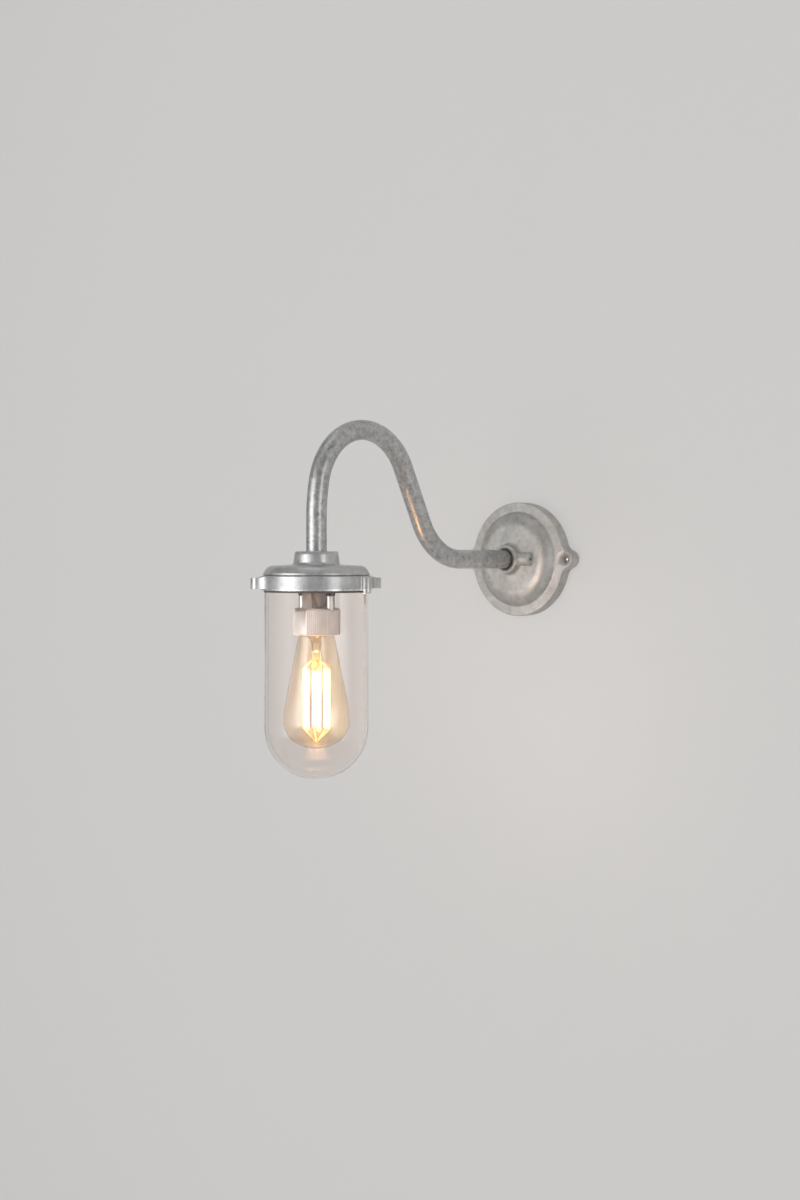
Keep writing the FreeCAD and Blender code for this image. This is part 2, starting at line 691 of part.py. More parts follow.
def gallery_hollow():
    """The space inside: a bore for the glass's flange, the seal's seat, and the wiring room above."""
    turn = (GALLERY_BORE_R, ROOF_HEIGHT - ROOF_FILLET)
    roof_r = GALLERY_BORE_R - ROOF_FILLET
    return lamp_spun([
        (0.0, BAND_BOTTOM - PAST), (BAND_BORE_R, BAND_BOTTOM - PAST), (BAND_BORE_R, SEAT_HEIGHT),
        (GALLERY_BORE_R, SEAT_HEIGHT), turn, corner(turn, (roof_r, ROOF_HEIGHT), (roof_r, turn[1])),
        (0.0, ROOF_HEIGHT)])


def gallery():
    """The cast cap over the glass, with a post for each pillar and a boss for the earth screw."""
    roof = ROOF_HEIGHT + PAST
    body = fuse_all([gallery_cap(), gallery_lugs()]).cut(gallery_hollow())
    posts = [lamp_rod(BUSH_R, x, 0, roof, BUSH_TOP) for x in (-PILLAR_X, PILLAR_X)]
    posts.append(lamp_rod(GALLERY_EARTH_PAD_R, *GALLERY_EARTH, roof, ROOF_HEIGHT - GALLERY_EARTH_BOSS))
    holes = [
        lamp_rod(TUBE_R + GAP, 0, 0, COLLAR_TOP + PAST, ROOF_HEIGHT - PAST),
        lamp_rod(TUBE_R + TUBE_MOUTH_EASE / 2, 0, 0, COLLAR_TOP + PAST, COLLAR_TOP - TUBE_MOUTH_DEEP),
        lamp_rod(EARTH_SCREW_R + GAP, *GALLERY_EARTH, ROOF_HEIGHT + BORE_PAST_ROOF,
                 ROOF_HEIGHT - GALLERY_EARTH_BOSS - PAST)]
    holes += [lamp_rod(HOLDER_SCREW_R + GAP, x, 0, HOLDER_SCREW_TOP + PAST, BUSH_TOP - PAST)
              for x in (-PILLAR_X, PILLAR_X)]
    for angle in EAR_ANGLES:
        holes.append(lamp_rod(EAR_HOLE_R, *polar(EAR_CENTRE_R, angle), BAND_TOP, BAND_BOTTOM - PAST))
    for angle in CLAMP_ANGLES:
        holes.append(lamp_rod(CLAMP_SCREW_R + CLAMP_SCREW_EASE, *polar(CLAMP_CENTRE_R, angle),
                              BAND_BOTTOM + CLAMP_SCREW_LENGTH, BAND_BOTTOM - PAST))
    return cut_all(fuse_all([body] + posts), holes)


def gallery_earth_screw():
    seat = at_lamp(*GALLERY_EARTH, ROOF_HEIGHT - GALLERY_EARTH_BOSS - EARTH_WIRE_ROOM)
    return pan_screw(EARTH_SCREW_R, EARTH_HEAD_R, EARTH_HEAD_THICK, seat, DOWN, GALLERY_EARTH_LENGTH)


def gallery_locknut():
    return locknut(at_lamp(0, 0, ROOF_HEIGHT - GAP), DOWN * LOCKNUT_THICK)


def gallery_seal():
    """The flat rubber ring that the glass closes against."""
    inner, outer, foot = GALLERY_BORE_R + EASE, BAND_BORE_R - EASE, FLANGE_TOP + GAP
    return lamp_spun([(inner, SEAT_HEIGHT), (outer, SEAT_HEIGHT), (outer, foot), (inner, foot)])


# ---- glass, ring and clamp screws ---------------------------------------------------------------
def well_glass():
    """A blown cylinder with a round end and a pressed flange at its mouth."""
    inner_r = GLASS_R - GLASS_WALL
    round_z = GLASS_BOTTOM + GLASS_R
    centre = (0.0, round_z)
    return lamp_spun([
        (inner_r, FLANGE_TOP), (FLANGE_R - FLANGE_EDGE, FLANGE_TOP), (FLANGE_R, FLANGE_TOP - FLANGE_EDGE),
        (FLANGE_R, FLANGE_BOTTOM), (GLASS_R, FLANGE_BOTTOM), (GLASS_R, round_z),
        corner((GLASS_R, round_z), (0.0, GLASS_BOTTOM), centre), (0.0, GLASS_BOTTOM + GLASS_WALL),
        corner((0.0, GLASS_BOTTOM + GLASS_WALL), (inner_r, round_z), centre)])


def glass_gasket():
    """A rubber collar on the glass: a flat part under the flange, and a sleeve that shows below the ring."""
    inner, flange = GLASS_R + GAP, FLANGE_BOTTOM - GAP
    return lamp_spun([(inner, flange), (FLANGE_R, flange), (FLANGE_R, BAND_BOTTOM), (SLEEVE_R, BAND_BOTTOM),
                      (SLEEVE_R, SLEEVE_BOTTOM), (inner, SLEEVE_BOTTOM)])


def clamp_ring():
    """The flat ring that carries the glass, with a lobe for each clamp screw."""
    top = BAND_BOTTOM - GAP
    foot = top - RING_THICK
    lobes = [(angle, CLAMP_CENTRE_R, RING_LOBE_R, CLAMP_BLEND) for angle in CLAMP_ANGLES]
    slab = lugged_slab(RING_R, lobes, lambda a, b: at_lamp(a, b, top), V(0, 0, -RING_THICK))
    tools = [lamp_rod(CLAMP_SCREW_R + CLAMP_SCREW_EASE, *polar(CLAMP_CENTRE_R, angle), top + PAST, foot - PAST)
             for angle in CLAMP_ANGLES]
    return cut_all(slab, [lamp_rod(RING_BORE_R, 0, 0, top + PAST, foot - PAST)] + tools)


def clamp_screw(angle):
    seat = at_lamp(*polar(CLAMP_CENTRE_R, angle), BAND_BOTTOM - 2 * GAP - RING_THICK)
    return pan_screw(CLAMP_SCREW_R, CLAMP_HEAD_R, CLAMP_HEAD_THICK, seat, DOWN, CLAMP_SCREW_LENGTH)


# ---- lampholder ---------------------------------------------------------------------------------
def ribbed_outline():
    """The skirt's round outline, with a panel of ribs in each quarter and smooth gaps between."""
    half = PANEL_RIBS * RIB_PITCH / 2
    gap = (PANEL_ANGLES[1] - PANEL_ANGLES[0]) / 2 - half
    outline = [polar(SKIRT_R, PANEL_ANGLES[0] - half)]
    for panel in PANEL_ANGLES:
        for rib in range(PANEL_RIBS):
            start = panel - half + rib * RIB_PITCH
            crest = [polar(SKIRT_R, start + RIB_PITCH * share) for share in (0.3, 0.6)]
            valley = polar(SKIRT_R - RIB_DEEP, start + RIB_PITCH * 0.8)
            outline += [crest, valley, polar(SKIRT_R, start + RIB_PITCH)]
        outline.append([polar(SKIRT_R, panel + half + gap), polar(SKIRT_R, panel + half + 2 * gap)])
    outline[-1][-1] = outline[0]
    return outline


def lampholder_skirt():
    edges = chain(placed(ribbed_outline(), lambda a, b: at_lamp(a, b, SKIRT_BOTTOM)))
    ribbed = Part.Face(Part.Wire(edges)).extrude(V(0, 0, SKIRT_TOP - SKIRT_BOTTOM))
    top = (SKIRT_R - SKIRT_TOP_ROUND, SKIRT_TOP)
    side = (SKIRT_R, SKIRT_TOP - SKIRT_TOP_ROUND)
    foot = (SKIRT_R, SKIRT_BOTTOM + SKIRT_EDGE)
    under = (SKIRT_R - SKIRT_EDGE, SKIRT_BOTTOM)
    softened = lamp_spun([(0.0, SKIRT_TOP), top, corner(top, side, (top[0], side[1])), foot,
                          corner(foot, under, (under[0], foot[1])), (0.0, SKIRT_BOTTOM)])
    return ribbed.common(softened)


def lampholder_body():
    """The glazed porcelain holder: a ribbed skirt under a square terminal block."""
    low = SKIRT_TOP - 2.0
    block = Part.makeBox(BLOCK_X, BLOCK_Y, BLOCK_TOP - low, at_lamp(-BLOCK_X / 2, -BLOCK_Y / 2, low))
    upright = [e for e in block.Edges if abs(e.tangentAt(e.FirstParameter).z) > 0.9]
    body = fuse_all([lampholder_skirt(), block.makeFillet(BLOCK_EDGE, upright)])
    under = SKIRT_BOTTOM - PAST
    tools = [lamp_rod(SHELL_R + GAP, 0, 0, HOLDER_FLOOR, under),
             lamp_rod(MOUTH_R, 0, 0, MOUTH_TOP, under),
             lamp_rod(CONTACT_WELL_R, 0, 0, CONTACT_ROOF, HOLDER_FLOOR - PAST),
             lamp_spun([(0.0, CONE_TOP), (CONE_TOP_R, CONE_TOP), (CONE_FOOT_R, HOLDER_FLOOR),
                        (0.0, HOLDER_FLOOR)])]
    for x in (-PILLAR_X, PILLAR_X):
        tools.append(lamp_rod(PILLAR_R + PILLAR_WELL_EASE, x, 0, SKIRT_TOP + PAST, PILLAR_FOOT))
        tools.append(lamp_rod(HOLDER_SCREW_R + HOLDER_SCREW_EASE, x, 0, PILLAR_FOOT + PAST, under))
        tools.append(lamp_rod(HOLDER_WELL_R, x, 0, HOLDER_HEAD_SEAT, under))
    for side in (-1, 1):
        well = at_lamp(-WELL_WIDE / 2, side * WELL_Y - WELL_LONG / 2, BLOCK_TOP - WELL_DEEP)
        tools.append(Part.makeBox(WELL_WIDE, WELL_LONG, WELL_DEEP, well))
        notch_y = NOTCH_Y if side > 0 else -NOTCH_Y - NOTCH_LONG
        notch = at_lamp(-NOTCH_X, notch_y, SKIRT_TOP - NOTCH_DEEP)
        tools.append(Part.makeBox(2 * NOTCH_X, NOTCH_LONG, NOTCH_DEEP + PAST, notch))
    return cut_all(body, tools)


def holder_screw_shell():
    """The brass sleeve that takes the bulb's cap."""
    inner, foot = SHELL_R - SHELL_WALL, MOUTH_TOP + EASE
    return lamp_spun([(inner, SHELL_TOP), (SHELL_R, SHELL_TOP), (SHELL_R, foot), (inner, foot)])


def holder_centre_contact():
    """A bent brass tongue that hangs from the roof of its well, above the bulb's tip."""
    low = BULB_TIP + EASE
    side = -CONTACT_WIDTH / 2
    tongue = Part.makeBox(CONTACT_WIDTH, 2 * CONTACT_REACH, CONTACT_THICK, at_lamp(side, -CONTACT_REACH, low))
    riser = Part.makeBox(CONTACT_WIDTH, CONTACT_THICK, CONTACT_ROOF - GAP - low,
                         at_lamp(side, CONTACT_REACH - CONTACT_THICK, low))
    return fuse_all([tongue, riser])


def holder_terminals():
    """Two brass terminals in the wells of the block, each with its wire hole."""
    made = []
    width, length, _ = LAMP_TERMINAL
    for y in (-WELL_Y, WELL_Y):
        body = Part.makeBox(*LAMP_TERMINAL, at_lamp(-width / 2, y - length / 2, BLOCK_TOP - WELL_DEEP + GAP))
        made.append(body.cut(lamp_rod(CORE_R + 0.2, 0, y, BLOCK_TOP, BLOCK_TOP - LAMP_TERMINAL_BORE)))
    return group(made)


def holder_pillars():
    """Two plated pillars that hang the holder from the gallery, on either side of the block."""
    made = []
    for x in (-PILLAR_X, PILLAR_X):
        post = lamp_rod(PILLAR_R, x, 0, PILLAR_TOP - GAP, PILLAR_FOOT + GAP)
        post = post.makeChamfer(PILLAR_CHAMFER, [e for e in post.Edges if e.Closed])
        made.append(post.cut(lamp_rod(HOLDER_SCREW_R + GAP, x, 0, PILLAR_TOP + PAST, PILLAR_FOOT - PAST)))
    return group(made)


def pillar_bushes():
    """Black rubber bushes between the pillars and the gallery's posts."""
    return group([lamp_rod(BUSH_R, x, 0, BUSH_TOP - GAP, PILLAR_TOP)
                  .cut(lamp_rod(HOLDER_SCREW_R + GAP, x, 0, BUSH_TOP + PAST, PILLAR_TOP - PAST))
                  for x in (-PILLAR_X, PILLAR_X)])


def holder_screws():
    """The long screws up through the porcelain, the pillars and the bushes."""
    seat = HOLDER_HEAD_SEAT - GAP
    length = HOLDER_SCREW_TOP - seat
    return group([pan_screw(HOLDER_SCREW_R, HOLDER_HEAD_R, HOLDER_HEAD_THICK, at_lamp(x, 0, seat), DOWN, length)
                  for x in (-PILLAR_X, PILLAR_X)])


# ---- bulb ---------------------------------------------------------------------------------------
def bulb_side(inset):
    """The teardrop's outline from neck to tip: hollow flank, hip, a tight arc, then a flat round end."""
    side_r = BULB_SIDE_R - inset
    side_x = BULB_R - BULB_SIDE_R
    drop = BULB_WIDEST - BULB_BOTTOM
    # radius of the end arc, so that it meets the side arc smoothly
    end_r = (side_x ** 2 + drop ** 2 - BULB_SIDE_R ** 2) / (2 * (drop - BULB_SIDE_R))
    end_centre = (0.0, BULB_BOTTOM + end_r)
    side_centre = (side_x, BULB_WIDEST)
    widest = (BULB_R - inset, BULB_WIDEST)
    meeting = toward(end_centre, side_centre, end_r - inset)
    tip = (0.0, BULB_BOTTOM + inset)
    half_turn = math.degrees(math.atan2(meeting[1] - side_centre[1], meeting[0] - side_centre[0])) / 2
    upper = [(r - inset, z) for r, z in ((NECK_R, CAP_BOTTOM), NECK_FOOT, FLANK_MIDDLE, FLANK_FOOT, HIP)]
    return [upper[0], upper[1], [upper[2], upper[3]], [upper[4], widest],
            [stepped(side_centre, half_turn, side_r), meeting], corner(meeting, tip, end_centre)]


def reversed_steps(steps):
    """The same outline walked the other way."""
    ends = [step[-1] if isinstance(step, list) else step for step in steps]
    back = [ends[-1]]
    for step, end in zip(reversed(steps[1:]), reversed(ends[:-1])):
        back.append([step[0], end] if isinstance(step, list) else end)
    return back


def bulb_glass():
    """The thin amber envelope, open at the neck inside its cap."""
    return lamp_spun(bulb_side(0.0) + reversed_steps(bulb_side(BULB_WALL)))


def bulb_cap():
    """The brass screw cap of the bulb, plain where its thread is rolled."""
    rim_r = NECK_R - 0.4
    foot = CAP_BOTTOM + GAP
    outside = [(CAP_CROWN_R, CAP_TOP), (CAP_SHELL_R, CAP_TOP - 2.0), (CAP_SHELL_R, foot + 2.5), (rim_r, foot)]
    inside = [(r - CAP_WALL, z) for r, z in reversed(outside)]
    return lamp_spun(outside + inside)


def bulb_insulator():
    """The dark glass ring between the cap and the tip."""
    return lamp_spun([(4.0, BULB_TIP - 1.2), (5.0, BULB_TIP - 1.2), (10.8, CAP_TOP), (10.4, CAP_TOP - 1.2),
                      (4.0, CAP_TOP - 1.2)])


def bulb_contact():
    """The solder tip and the stud that carries it."""
    return lamp_spun([(0.0, BULB_TIP), (3.2, BULB_TIP), (4.6, BULB_TIP - 1.0), (3.9, BULB_TIP - 1.15),
                      (3.9, CAP_TOP - 1.0), (0.0, CAP_TOP - 1.0)])


def bulb_driver():
    """The small board of the filament driver, upright across the cap, with its coil and its bridge."""
    half, thick = CAP_SHELL_R - CAP_WALL - 0.2, 1.2
    board = Part.makeBox(2 * half, thick, DRIVER_TOP - DRIVER_BOTTOM, at_lamp(-half, -thick / 2, DRIVER_BOTTOM))
    coil = lamp_rod(3.0, -4.0, 3.0 + thick / 2 + GAP, DRIVER_TOP - 2.0, DRIVER_BOTTOM + 2.0)
    bridge = Part.makeBox(6.0, 2.2, 5.0, at_lamp(1.5, thick / 2 + GAP, DRIVER_BOTTOM + 3.5))
    return group([board, coil, bridge])


def bulb_stem():
    """The flared glass stem that closes the neck and carries the filaments, hollow above its waist."""
    def inner(point):
        return (point[0] - STEM_WALL, point[1] + STEM_WALL / 2)
    head = (STEM_HEAD_R, STEM_TIP + STEM_HEAD_R)
    return lamp_spun([
        STEM_FLARE, [STEM_THROAT, STEM_WAIST], (STEM_R, LEAD_ROOT), head,
        corner(head, (0.0, STEM_TIP), (0.0, head[1])), (0.0, STEM_HOLLOW_END),
        (STEM_R - STEM_WALL, STEM_HOLLOW_END + 2.0), inner(STEM_WAIST),
        [inner(STEM_THROAT), inner(STEM_FLARE)]])


def filament_places(radius):
    return [polar(radius, FILAMENT_FIRST + 360.0 * n / FILAMENTS) for n in range(FILAMENTS)]


def bulb_filaments():
    """Straight filaments in a ring below the stem."""
    return group([lamp_rod(FILAMENT_R, x, y, FILAMENT_TOP, FILAMENT_BOTTOM)
                  for x, y in filament_places(FILAMENT_RING_R)])


def bulb_leads():
    """The support wires: from the stem out to each filament's head, and a spider at the foot."""
    heads = []
    feet = [lamp_rod(HUB_R, 0, 0, HUB_HEIGHT + HUB_R, HUB_HEIGHT - HUB_R)]
    roots = filament_places(STEM_R + LEAD_R)
    for (root_x, root_y), (x, y) in zip(roots, filament_places(FILAMENT_RING_R)):
        heads.append(rod(LEAD_R, at_lamp(root_x, root_y, LEAD_ROOT), at_lamp(x, y, FILAMENT_TOP + EASE)))
        feet.append(rod(LEAD_R, at_lamp(0, 0, HUB_HEIGHT), at_lamp(x, y, FILAMENT_BOTTOM - EASE)))
    return group(heads + [fuse_all(feet)])


# ---- the whole sconce ---------------------------------------------------------------------------
NODES = {
    "wall_rose": wall_rose,
    "rose_gasket": rose_gasket,
    "rose_locknut": rose_locknut,
    "rose_earth_screw": rose_earth_screw,
    "terminal_block": terminal_block,
    "terminal_screws": terminal_screws,
    "terminal_block_screw": terminal_block_screw,
    "arm_set_screw": arm_set_screw,
    "arm_tube": arm_tube,
    "arm_flex": arm_flex,
    "live_core": live_core,
    "neutral_core": neutral_core,
    "earth_core": earth_core,
    "gallery": gallery,
    "gallery_locknut": gallery_locknut,
    "gallery_seal": gallery_seal,
    "gallery_earth_screw": gallery_earth_screw,
    "well_glass": well_glass,
    "glass_gasket": glass_gasket,
    "clamp_ring": clamp_ring,
    "clamp_screw_right": lambda: clamp_screw(CLAMP_ANGLES[0]),
    "clamp_screw_left": lambda: clamp_screw(CLAMP_ANGLES[1]),
    "lampholder_body": lampholder_body,
    "holder_screw_shell": holder_screw_shell,
    "holder_centre_contact": holder_centre_contact,
    "holder_terminals": holder_terminals,
    "holder_pillars": holder_pillars,
    "pillar_bushes": pillar_bushes,
    "holder_screws": holder_screws,
    "bulb_glass": bulb_glass,
    "bulb_cap": bulb_cap,
    "bulb_insulator": bulb_insulator,
    "bulb_contact": bulb_contact,
    "bulb_driver": bulb_driver,
    "bulb_stem": bulb_stem,
    "bulb_filaments": bulb_filaments,
    "bulb_leads": bulb_leads,
}


def main():
    os.makedirs(OUT, exist_ok=True)
    for name, make in NODES.items():
        shape = make()
        print(f"{name}: {len(shape.Solids)} solids, {shape.Volume / 1000:.2f} cm3, valid {shape.isValid()}")
        shape.exportStep(f"{OUT}/{name}.step")


main()
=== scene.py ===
# %% [markdown]
# # A galvanised gooseneck wall sconce
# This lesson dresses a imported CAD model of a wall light: a cast rose on the wall, a bent conduit arm, and
# a well glass round a long-filament bulb. The CAD model already has every piece in its place, in metres,
# with the wall at y = 0, +Z up and the lamp out along -Y. Here each piece gets its finish, and the pieces
# whose curves catch the light are made again as finer meshes. The first step is to load the frame and note
# its box.

# %% Load the frame
import math

import bmesh
import bpy
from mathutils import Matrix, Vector, noise


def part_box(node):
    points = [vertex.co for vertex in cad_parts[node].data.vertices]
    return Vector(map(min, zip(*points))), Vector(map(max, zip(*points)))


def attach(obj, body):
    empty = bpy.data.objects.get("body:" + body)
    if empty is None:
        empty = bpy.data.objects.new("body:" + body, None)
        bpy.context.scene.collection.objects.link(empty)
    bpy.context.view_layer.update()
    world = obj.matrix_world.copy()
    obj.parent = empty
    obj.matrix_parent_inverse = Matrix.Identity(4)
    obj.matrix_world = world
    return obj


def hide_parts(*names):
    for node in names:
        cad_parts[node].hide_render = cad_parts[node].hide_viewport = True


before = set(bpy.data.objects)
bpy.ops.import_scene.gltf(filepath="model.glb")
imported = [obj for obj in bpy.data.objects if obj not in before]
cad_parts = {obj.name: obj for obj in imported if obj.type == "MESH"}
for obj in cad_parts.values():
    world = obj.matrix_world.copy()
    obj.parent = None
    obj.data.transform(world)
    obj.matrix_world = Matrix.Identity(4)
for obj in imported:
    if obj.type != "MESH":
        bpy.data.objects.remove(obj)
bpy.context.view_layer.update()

# %% [markdown]
# ## Where the lamp hangs
# Most pieces here are round about one upright line, the lamp's axis. Its place could be typed in, but it
# is safer to read it from the frame, so that it is true whatever the CAD model says: the middle of the
# well glass's box is on the axis.

# %% The lamp's axis
glass_low, glass_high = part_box("well_glass")
LAMP_Y = round((glass_low[1] + glass_high[1]) / 2, 4)
print("the lamp's axis stands at y =", LAMP_Y)

# %% [markdown]
# ## The camera
# The photograph was taken from the right of the lamp, level with the arm, with a long-ish lens. A camera
# can be matched by eye, or worked out from the rose, whose circle turns into an ellipse. Here it was
# worked out, and the frame is moved a little with the lens shift instead of a tilt, so that the upright
# leg stays upright.

# %% The camera of the photograph
def in_scene(name, data):
    """A new object in the scene, with this camera, mesh or light as its data."""
    made = bpy.data.objects.new(name, data)
    bpy.context.collection.objects.link(made)
    return made


camera = in_scene("camera", bpy.data.cameras.new("camera"))
camera.data.lens = 50.0
camera.data.sensor_width = 36.0
camera.data.shift_y = -0.034
camera.data.clip_start = 0.05
camera.data.clip_end = 50.0
camera.location = (1.1418, -1.4601, 0.0)
camera.rotation_euler = (math.radians(90.0), 0.0, math.radians(42.3))
bpy.context.scene.camera = camera
bpy.context.scene.view_settings.view_transform = "Standard"
print("camera", round((camera.location - Vector((0, LAMP_Y, 0))).length, 3), "m from the lamp's axis")

# %% [markdown]
# ## Finishes: the first helpers
# A finish is a small tree of nodes. Every tree here reads Object coordinates, so that a pattern stays on
# its piece, at its real size. Typing each node out would bury the idea, so four helpers start a material,
# add a node with its sockets linked or set by name, fetch the coordinates and add a noise. A value that is
# the same all over goes straight onto the shader's own socket.

# %% Start a material, add a node, fetch coordinates, add a noise
def start_material(name, **sockets):
    """A material with its main shader's plain sockets set by name. Returns (material, tree, shader)."""
    material = bpy.data.materials.new(name)
    material.use_nodes = True
    tree = material.node_tree
    shader = tree.nodes["Principled BSDF"]
    for socket, value in sockets.items():
        shader.inputs[socket.replace("_", " ")].default_value = value
    return material, tree, shader


def node(tree, kind, **links):
    """A node with its sockets linked or set by name."""
    made = tree.nodes.new(kind)
    for title, value in links.items():
        socket = made.inputs[title.replace("_", " ")]
        if isinstance(value, bpy.types.NodeSocket):
            tree.links.new(value, socket)
        else:
            socket.default_value = value
    return made


def coordinates(tree, scale=(1, 1, 1), turn=(0, 0, 0)):
    """Object coordinates, stretched and turned."""
    source = node(tree, "ShaderNodeTexCoord")
    mapping = node(tree, "ShaderNodeMapping", Vector=source.outputs["Object"], Scale=scale, Rotation=turn)
    return mapping.outputs["Vector"]


def cloudy(tree, where, size_mm, detail=4.0, rough=0.55, distortion=0.0):
    """Noise whose patches are about size_mm across."""
    texture = node(tree, "ShaderNodeTexNoise", Vector=where, Scale=1000.0 / size_mm, Detail=detail,
                   Roughness=rough, Distortion=distortion)
    return texture.outputs["Fac"]


print("helpers ready: start_material, node, coordinates, cloudy")

# %% [markdown]
# ## Finishes: from a value to a colour or a bump
# A noise is only a grey value. It becomes a finish when it is stretched to a useful range, turned into a
# colour through a ramp, or read as height by a bump node. Height is given here in real millimetres,
# because a bump that has no scale looks right at one size only.

# %% Stretch a value, colour it, read it as height
def stepped_between(tree, value, low, high, start=0.0, end=1.0):
    """value mapped from low..high to start..end, held at both ends."""
    stretch = node(tree, "ShaderNodeMapRange", Value=value, From_Min=low, From_Max=high,
                   To_Min=start, To_Max=end)
    return stretch.outputs["Result"]


def coloured(tree, value, stops):
    """A value turned into colour, through (place, (r, g, b)) stops."""
    ramp_node = tree.nodes.new("ShaderNodeValToRGB")
    elements = ramp_node.color_ramp.elements
    while len(elements) < len(stops):
        elements.new(0.5)
    for element, (place, colour) in zip(elements, stops):
        element.position = place
        element.color = (*colour, 1.0)
    tree.links.new(value, ramp_node.inputs["Fac"])
    return ramp_node.outputs["Color"]


def bumped(tree, shader, height, depth_mm):
    """Makes the surface look raised by height times depth_mm."""
    bump = node(tree, "ShaderNodeBump", Height=height, Strength=1.0, Distance=depth_mm / 1000.0)
    tree.links.new(bump.outputs["Normal"], shader.inputs["Normal"])


print("helpers ready: stepped_between, coloured, bumped")

# %% [markdown]
# ## Small finishes
# The screws are zinc plated, the contacts and the bulb's cap are brass, the seals are black or grey
# rubber, and the wires, the terminal block and the bulb's board are plain plastics. Each still has a
# little unevenness in tone, shine and surface, because nothing real is one flat colour. They differ only
# in numbers, so one function makes them all.

# %% Plated steel, brass, rubber, plastics
def simple_finish(name, colour, metallic, roughness, size_mm, depth_mm=0.03):
    """An even colour with slight cloudiness in tone, shine and surface."""
    material, tree, shader = start_material(name, Metallic=metallic, Roughness=roughness)
    where = coordinates(tree)
    cloud = cloudy(tree, where, size_mm)
    dark = tuple(c * 0.85 for c in colour)
    bright = tuple(min(1.0, c * 1.15) for c in colour)
    tree.links.new(coloured(tree, cloud, [(0.3, dark), (0.7, bright)]), shader.inputs["Base Color"])
    tree.links.new(stepped_between(tree, cloud, 0.3, 0.7, roughness * 0.8, min(1.0, roughness * 1.2)),
                   shader.inputs["Roughness"])
    bumped(tree, shader, cloudy(tree, where, size_mm * 0.3), depth_mm)
    return material


PLATED = simple_finish("zinc_plated_steel", (0.66, 0.66, 0.64), 1.0, 0.28, 2.0, 0.02)
BRASS = simple_finish("bright_brass", (0.78, 0.56, 0.26), 1.0, 0.28, 3.0, 0.02)
RUBBER = simple_finish("soft_black_rubber", (0.022, 0.021, 0.02), 0.0, 0.6, 1.5, 0.06)
GREY_RUBBER = simple_finish("grey_rubber", (0.13, 0.11, 0.1), 0.0, 0.6, 1.5, 0.06)
DULL_STEEL = simple_finish("dull_steel", (0.34, 0.33, 0.32), 1.0, 0.4, 2.0, 0.03)
SHEATH = simple_finish("black_flex_sheath", (0.03, 0.03, 0.03), 0.0, 0.5, 2.0)
BROWN = simple_finish("brown_wire_plastic", (0.2, 0.08, 0.03), 0.0, 0.4, 2.0)
BLUE = simple_finish("blue_wire_plastic", (0.03, 0.12, 0.42), 0.0, 0.4, 2.0)
WHITE_PLASTIC = simple_finish("terminal_plastic", (0.8, 0.78, 0.72), 0.0, 0.45, 3.0)
BLACK_GLASS = simple_finish("black_cap_glass", (0.02, 0.016, 0.022), 0.0, 0.12, 2.0, 0.01)
BOARD = simple_finish("green_board", (0.05, 0.2, 0.08), 0.0, 0.4, 2.0)
print("materials in the file so far:", len(bpy.data.materials))

# %% [markdown]
# ## The striped earth core
# An earth core is green with a yellow stripe that winds along it. A wave texture turned askew to the wire
# makes the winding without any need to unwrap the wire.

# %% Green and yellow insulation
def striped_earth():
    """Green plastic with a yellow stripe that winds along the wire."""
    material, tree, shader = start_material("striped_wire_plastic", Roughness=0.4)
    askew = coordinates(tree, turn=(0.5, 0.3, 0.9))
    wave = node(tree, "ShaderNodeTexWave", Vector=askew, Scale=160.0, Distortion=0.6)
    stripes = coloured(tree, wave.outputs["Fac"], [(0.46, (0.05, 0.3, 0.06)), (0.54, (0.75, 0.6, 0.05))])
    tree.links.new(stripes, shader.inputs["Base Color"])
    return material


EARTH = striped_earth()
print(EARTH.name, "has", len(EARTH.node_tree.nodes), "nodes")

# %% [markdown]
# ## Zinc
# The iron parts were dipped in molten zinc. Zinc freezes in crystals of a few millimetres, each a slightly
# different grey, and it covers the casting's own grainy skin without hiding it. So the finish mixes soft
# cloudy patches, faint crystals and a fine grain into its grey, and the patches and the grain also vary
# its shine and give the bump. The grey is darkened in the creases that an ambient occlusion node finds,
# which is painted shade. Cast pieces are grainier and duller than the drawn tube, so one function takes
# those numbers.

# %% Crystals, sums and mixes
def crystals(tree, where, size_mm, output="Distance"):
    """Cells about size_mm across, as zinc crystals or specks."""
    texture = node(tree, "ShaderNodeTexVoronoi", Vector=where, Scale=1000.0 / size_mm)
    return texture.outputs[output]


def sums(tree, operation, first, second):
    """Two values, or a value and a number, put together."""
    calculation = tree.nodes.new("ShaderNodeMath")
    calculation.operation = operation
    for place, value in enumerate((first, second)):
        if isinstance(value, (int, float)):
            calculation.inputs[place].default_value = value
        else:
            tree.links.new(value, calculation.inputs[place])
    return calculation.outputs["Value"]


def weighed(tree, *parts):
    """The sum of (value, weight) pairs."""
    total = sums(tree, "MULTIPLY", *parts[0])
    for value, weight in parts[1:]:
        total = sums(tree, "ADD", total, sums(tree, "MULTIPLY", value, weight))
    return total


def blended(tree, share, first, second):
    """Two colours mixed by a value."""
    mix = tree.nodes.new("ShaderNodeMix")
    mix.data_type = "RGBA"
    for socket, value in ((0, share), (6, first), (7, second)):
        if isinstance(value, tuple):
            mix.inputs[socket].default_value = (*value, 1.0)
        else:
            tree.links.new(value, mix.inputs[socket])
    return mix.outputs[2]


print("helpers ready: crystals, sums, weighed, blended")

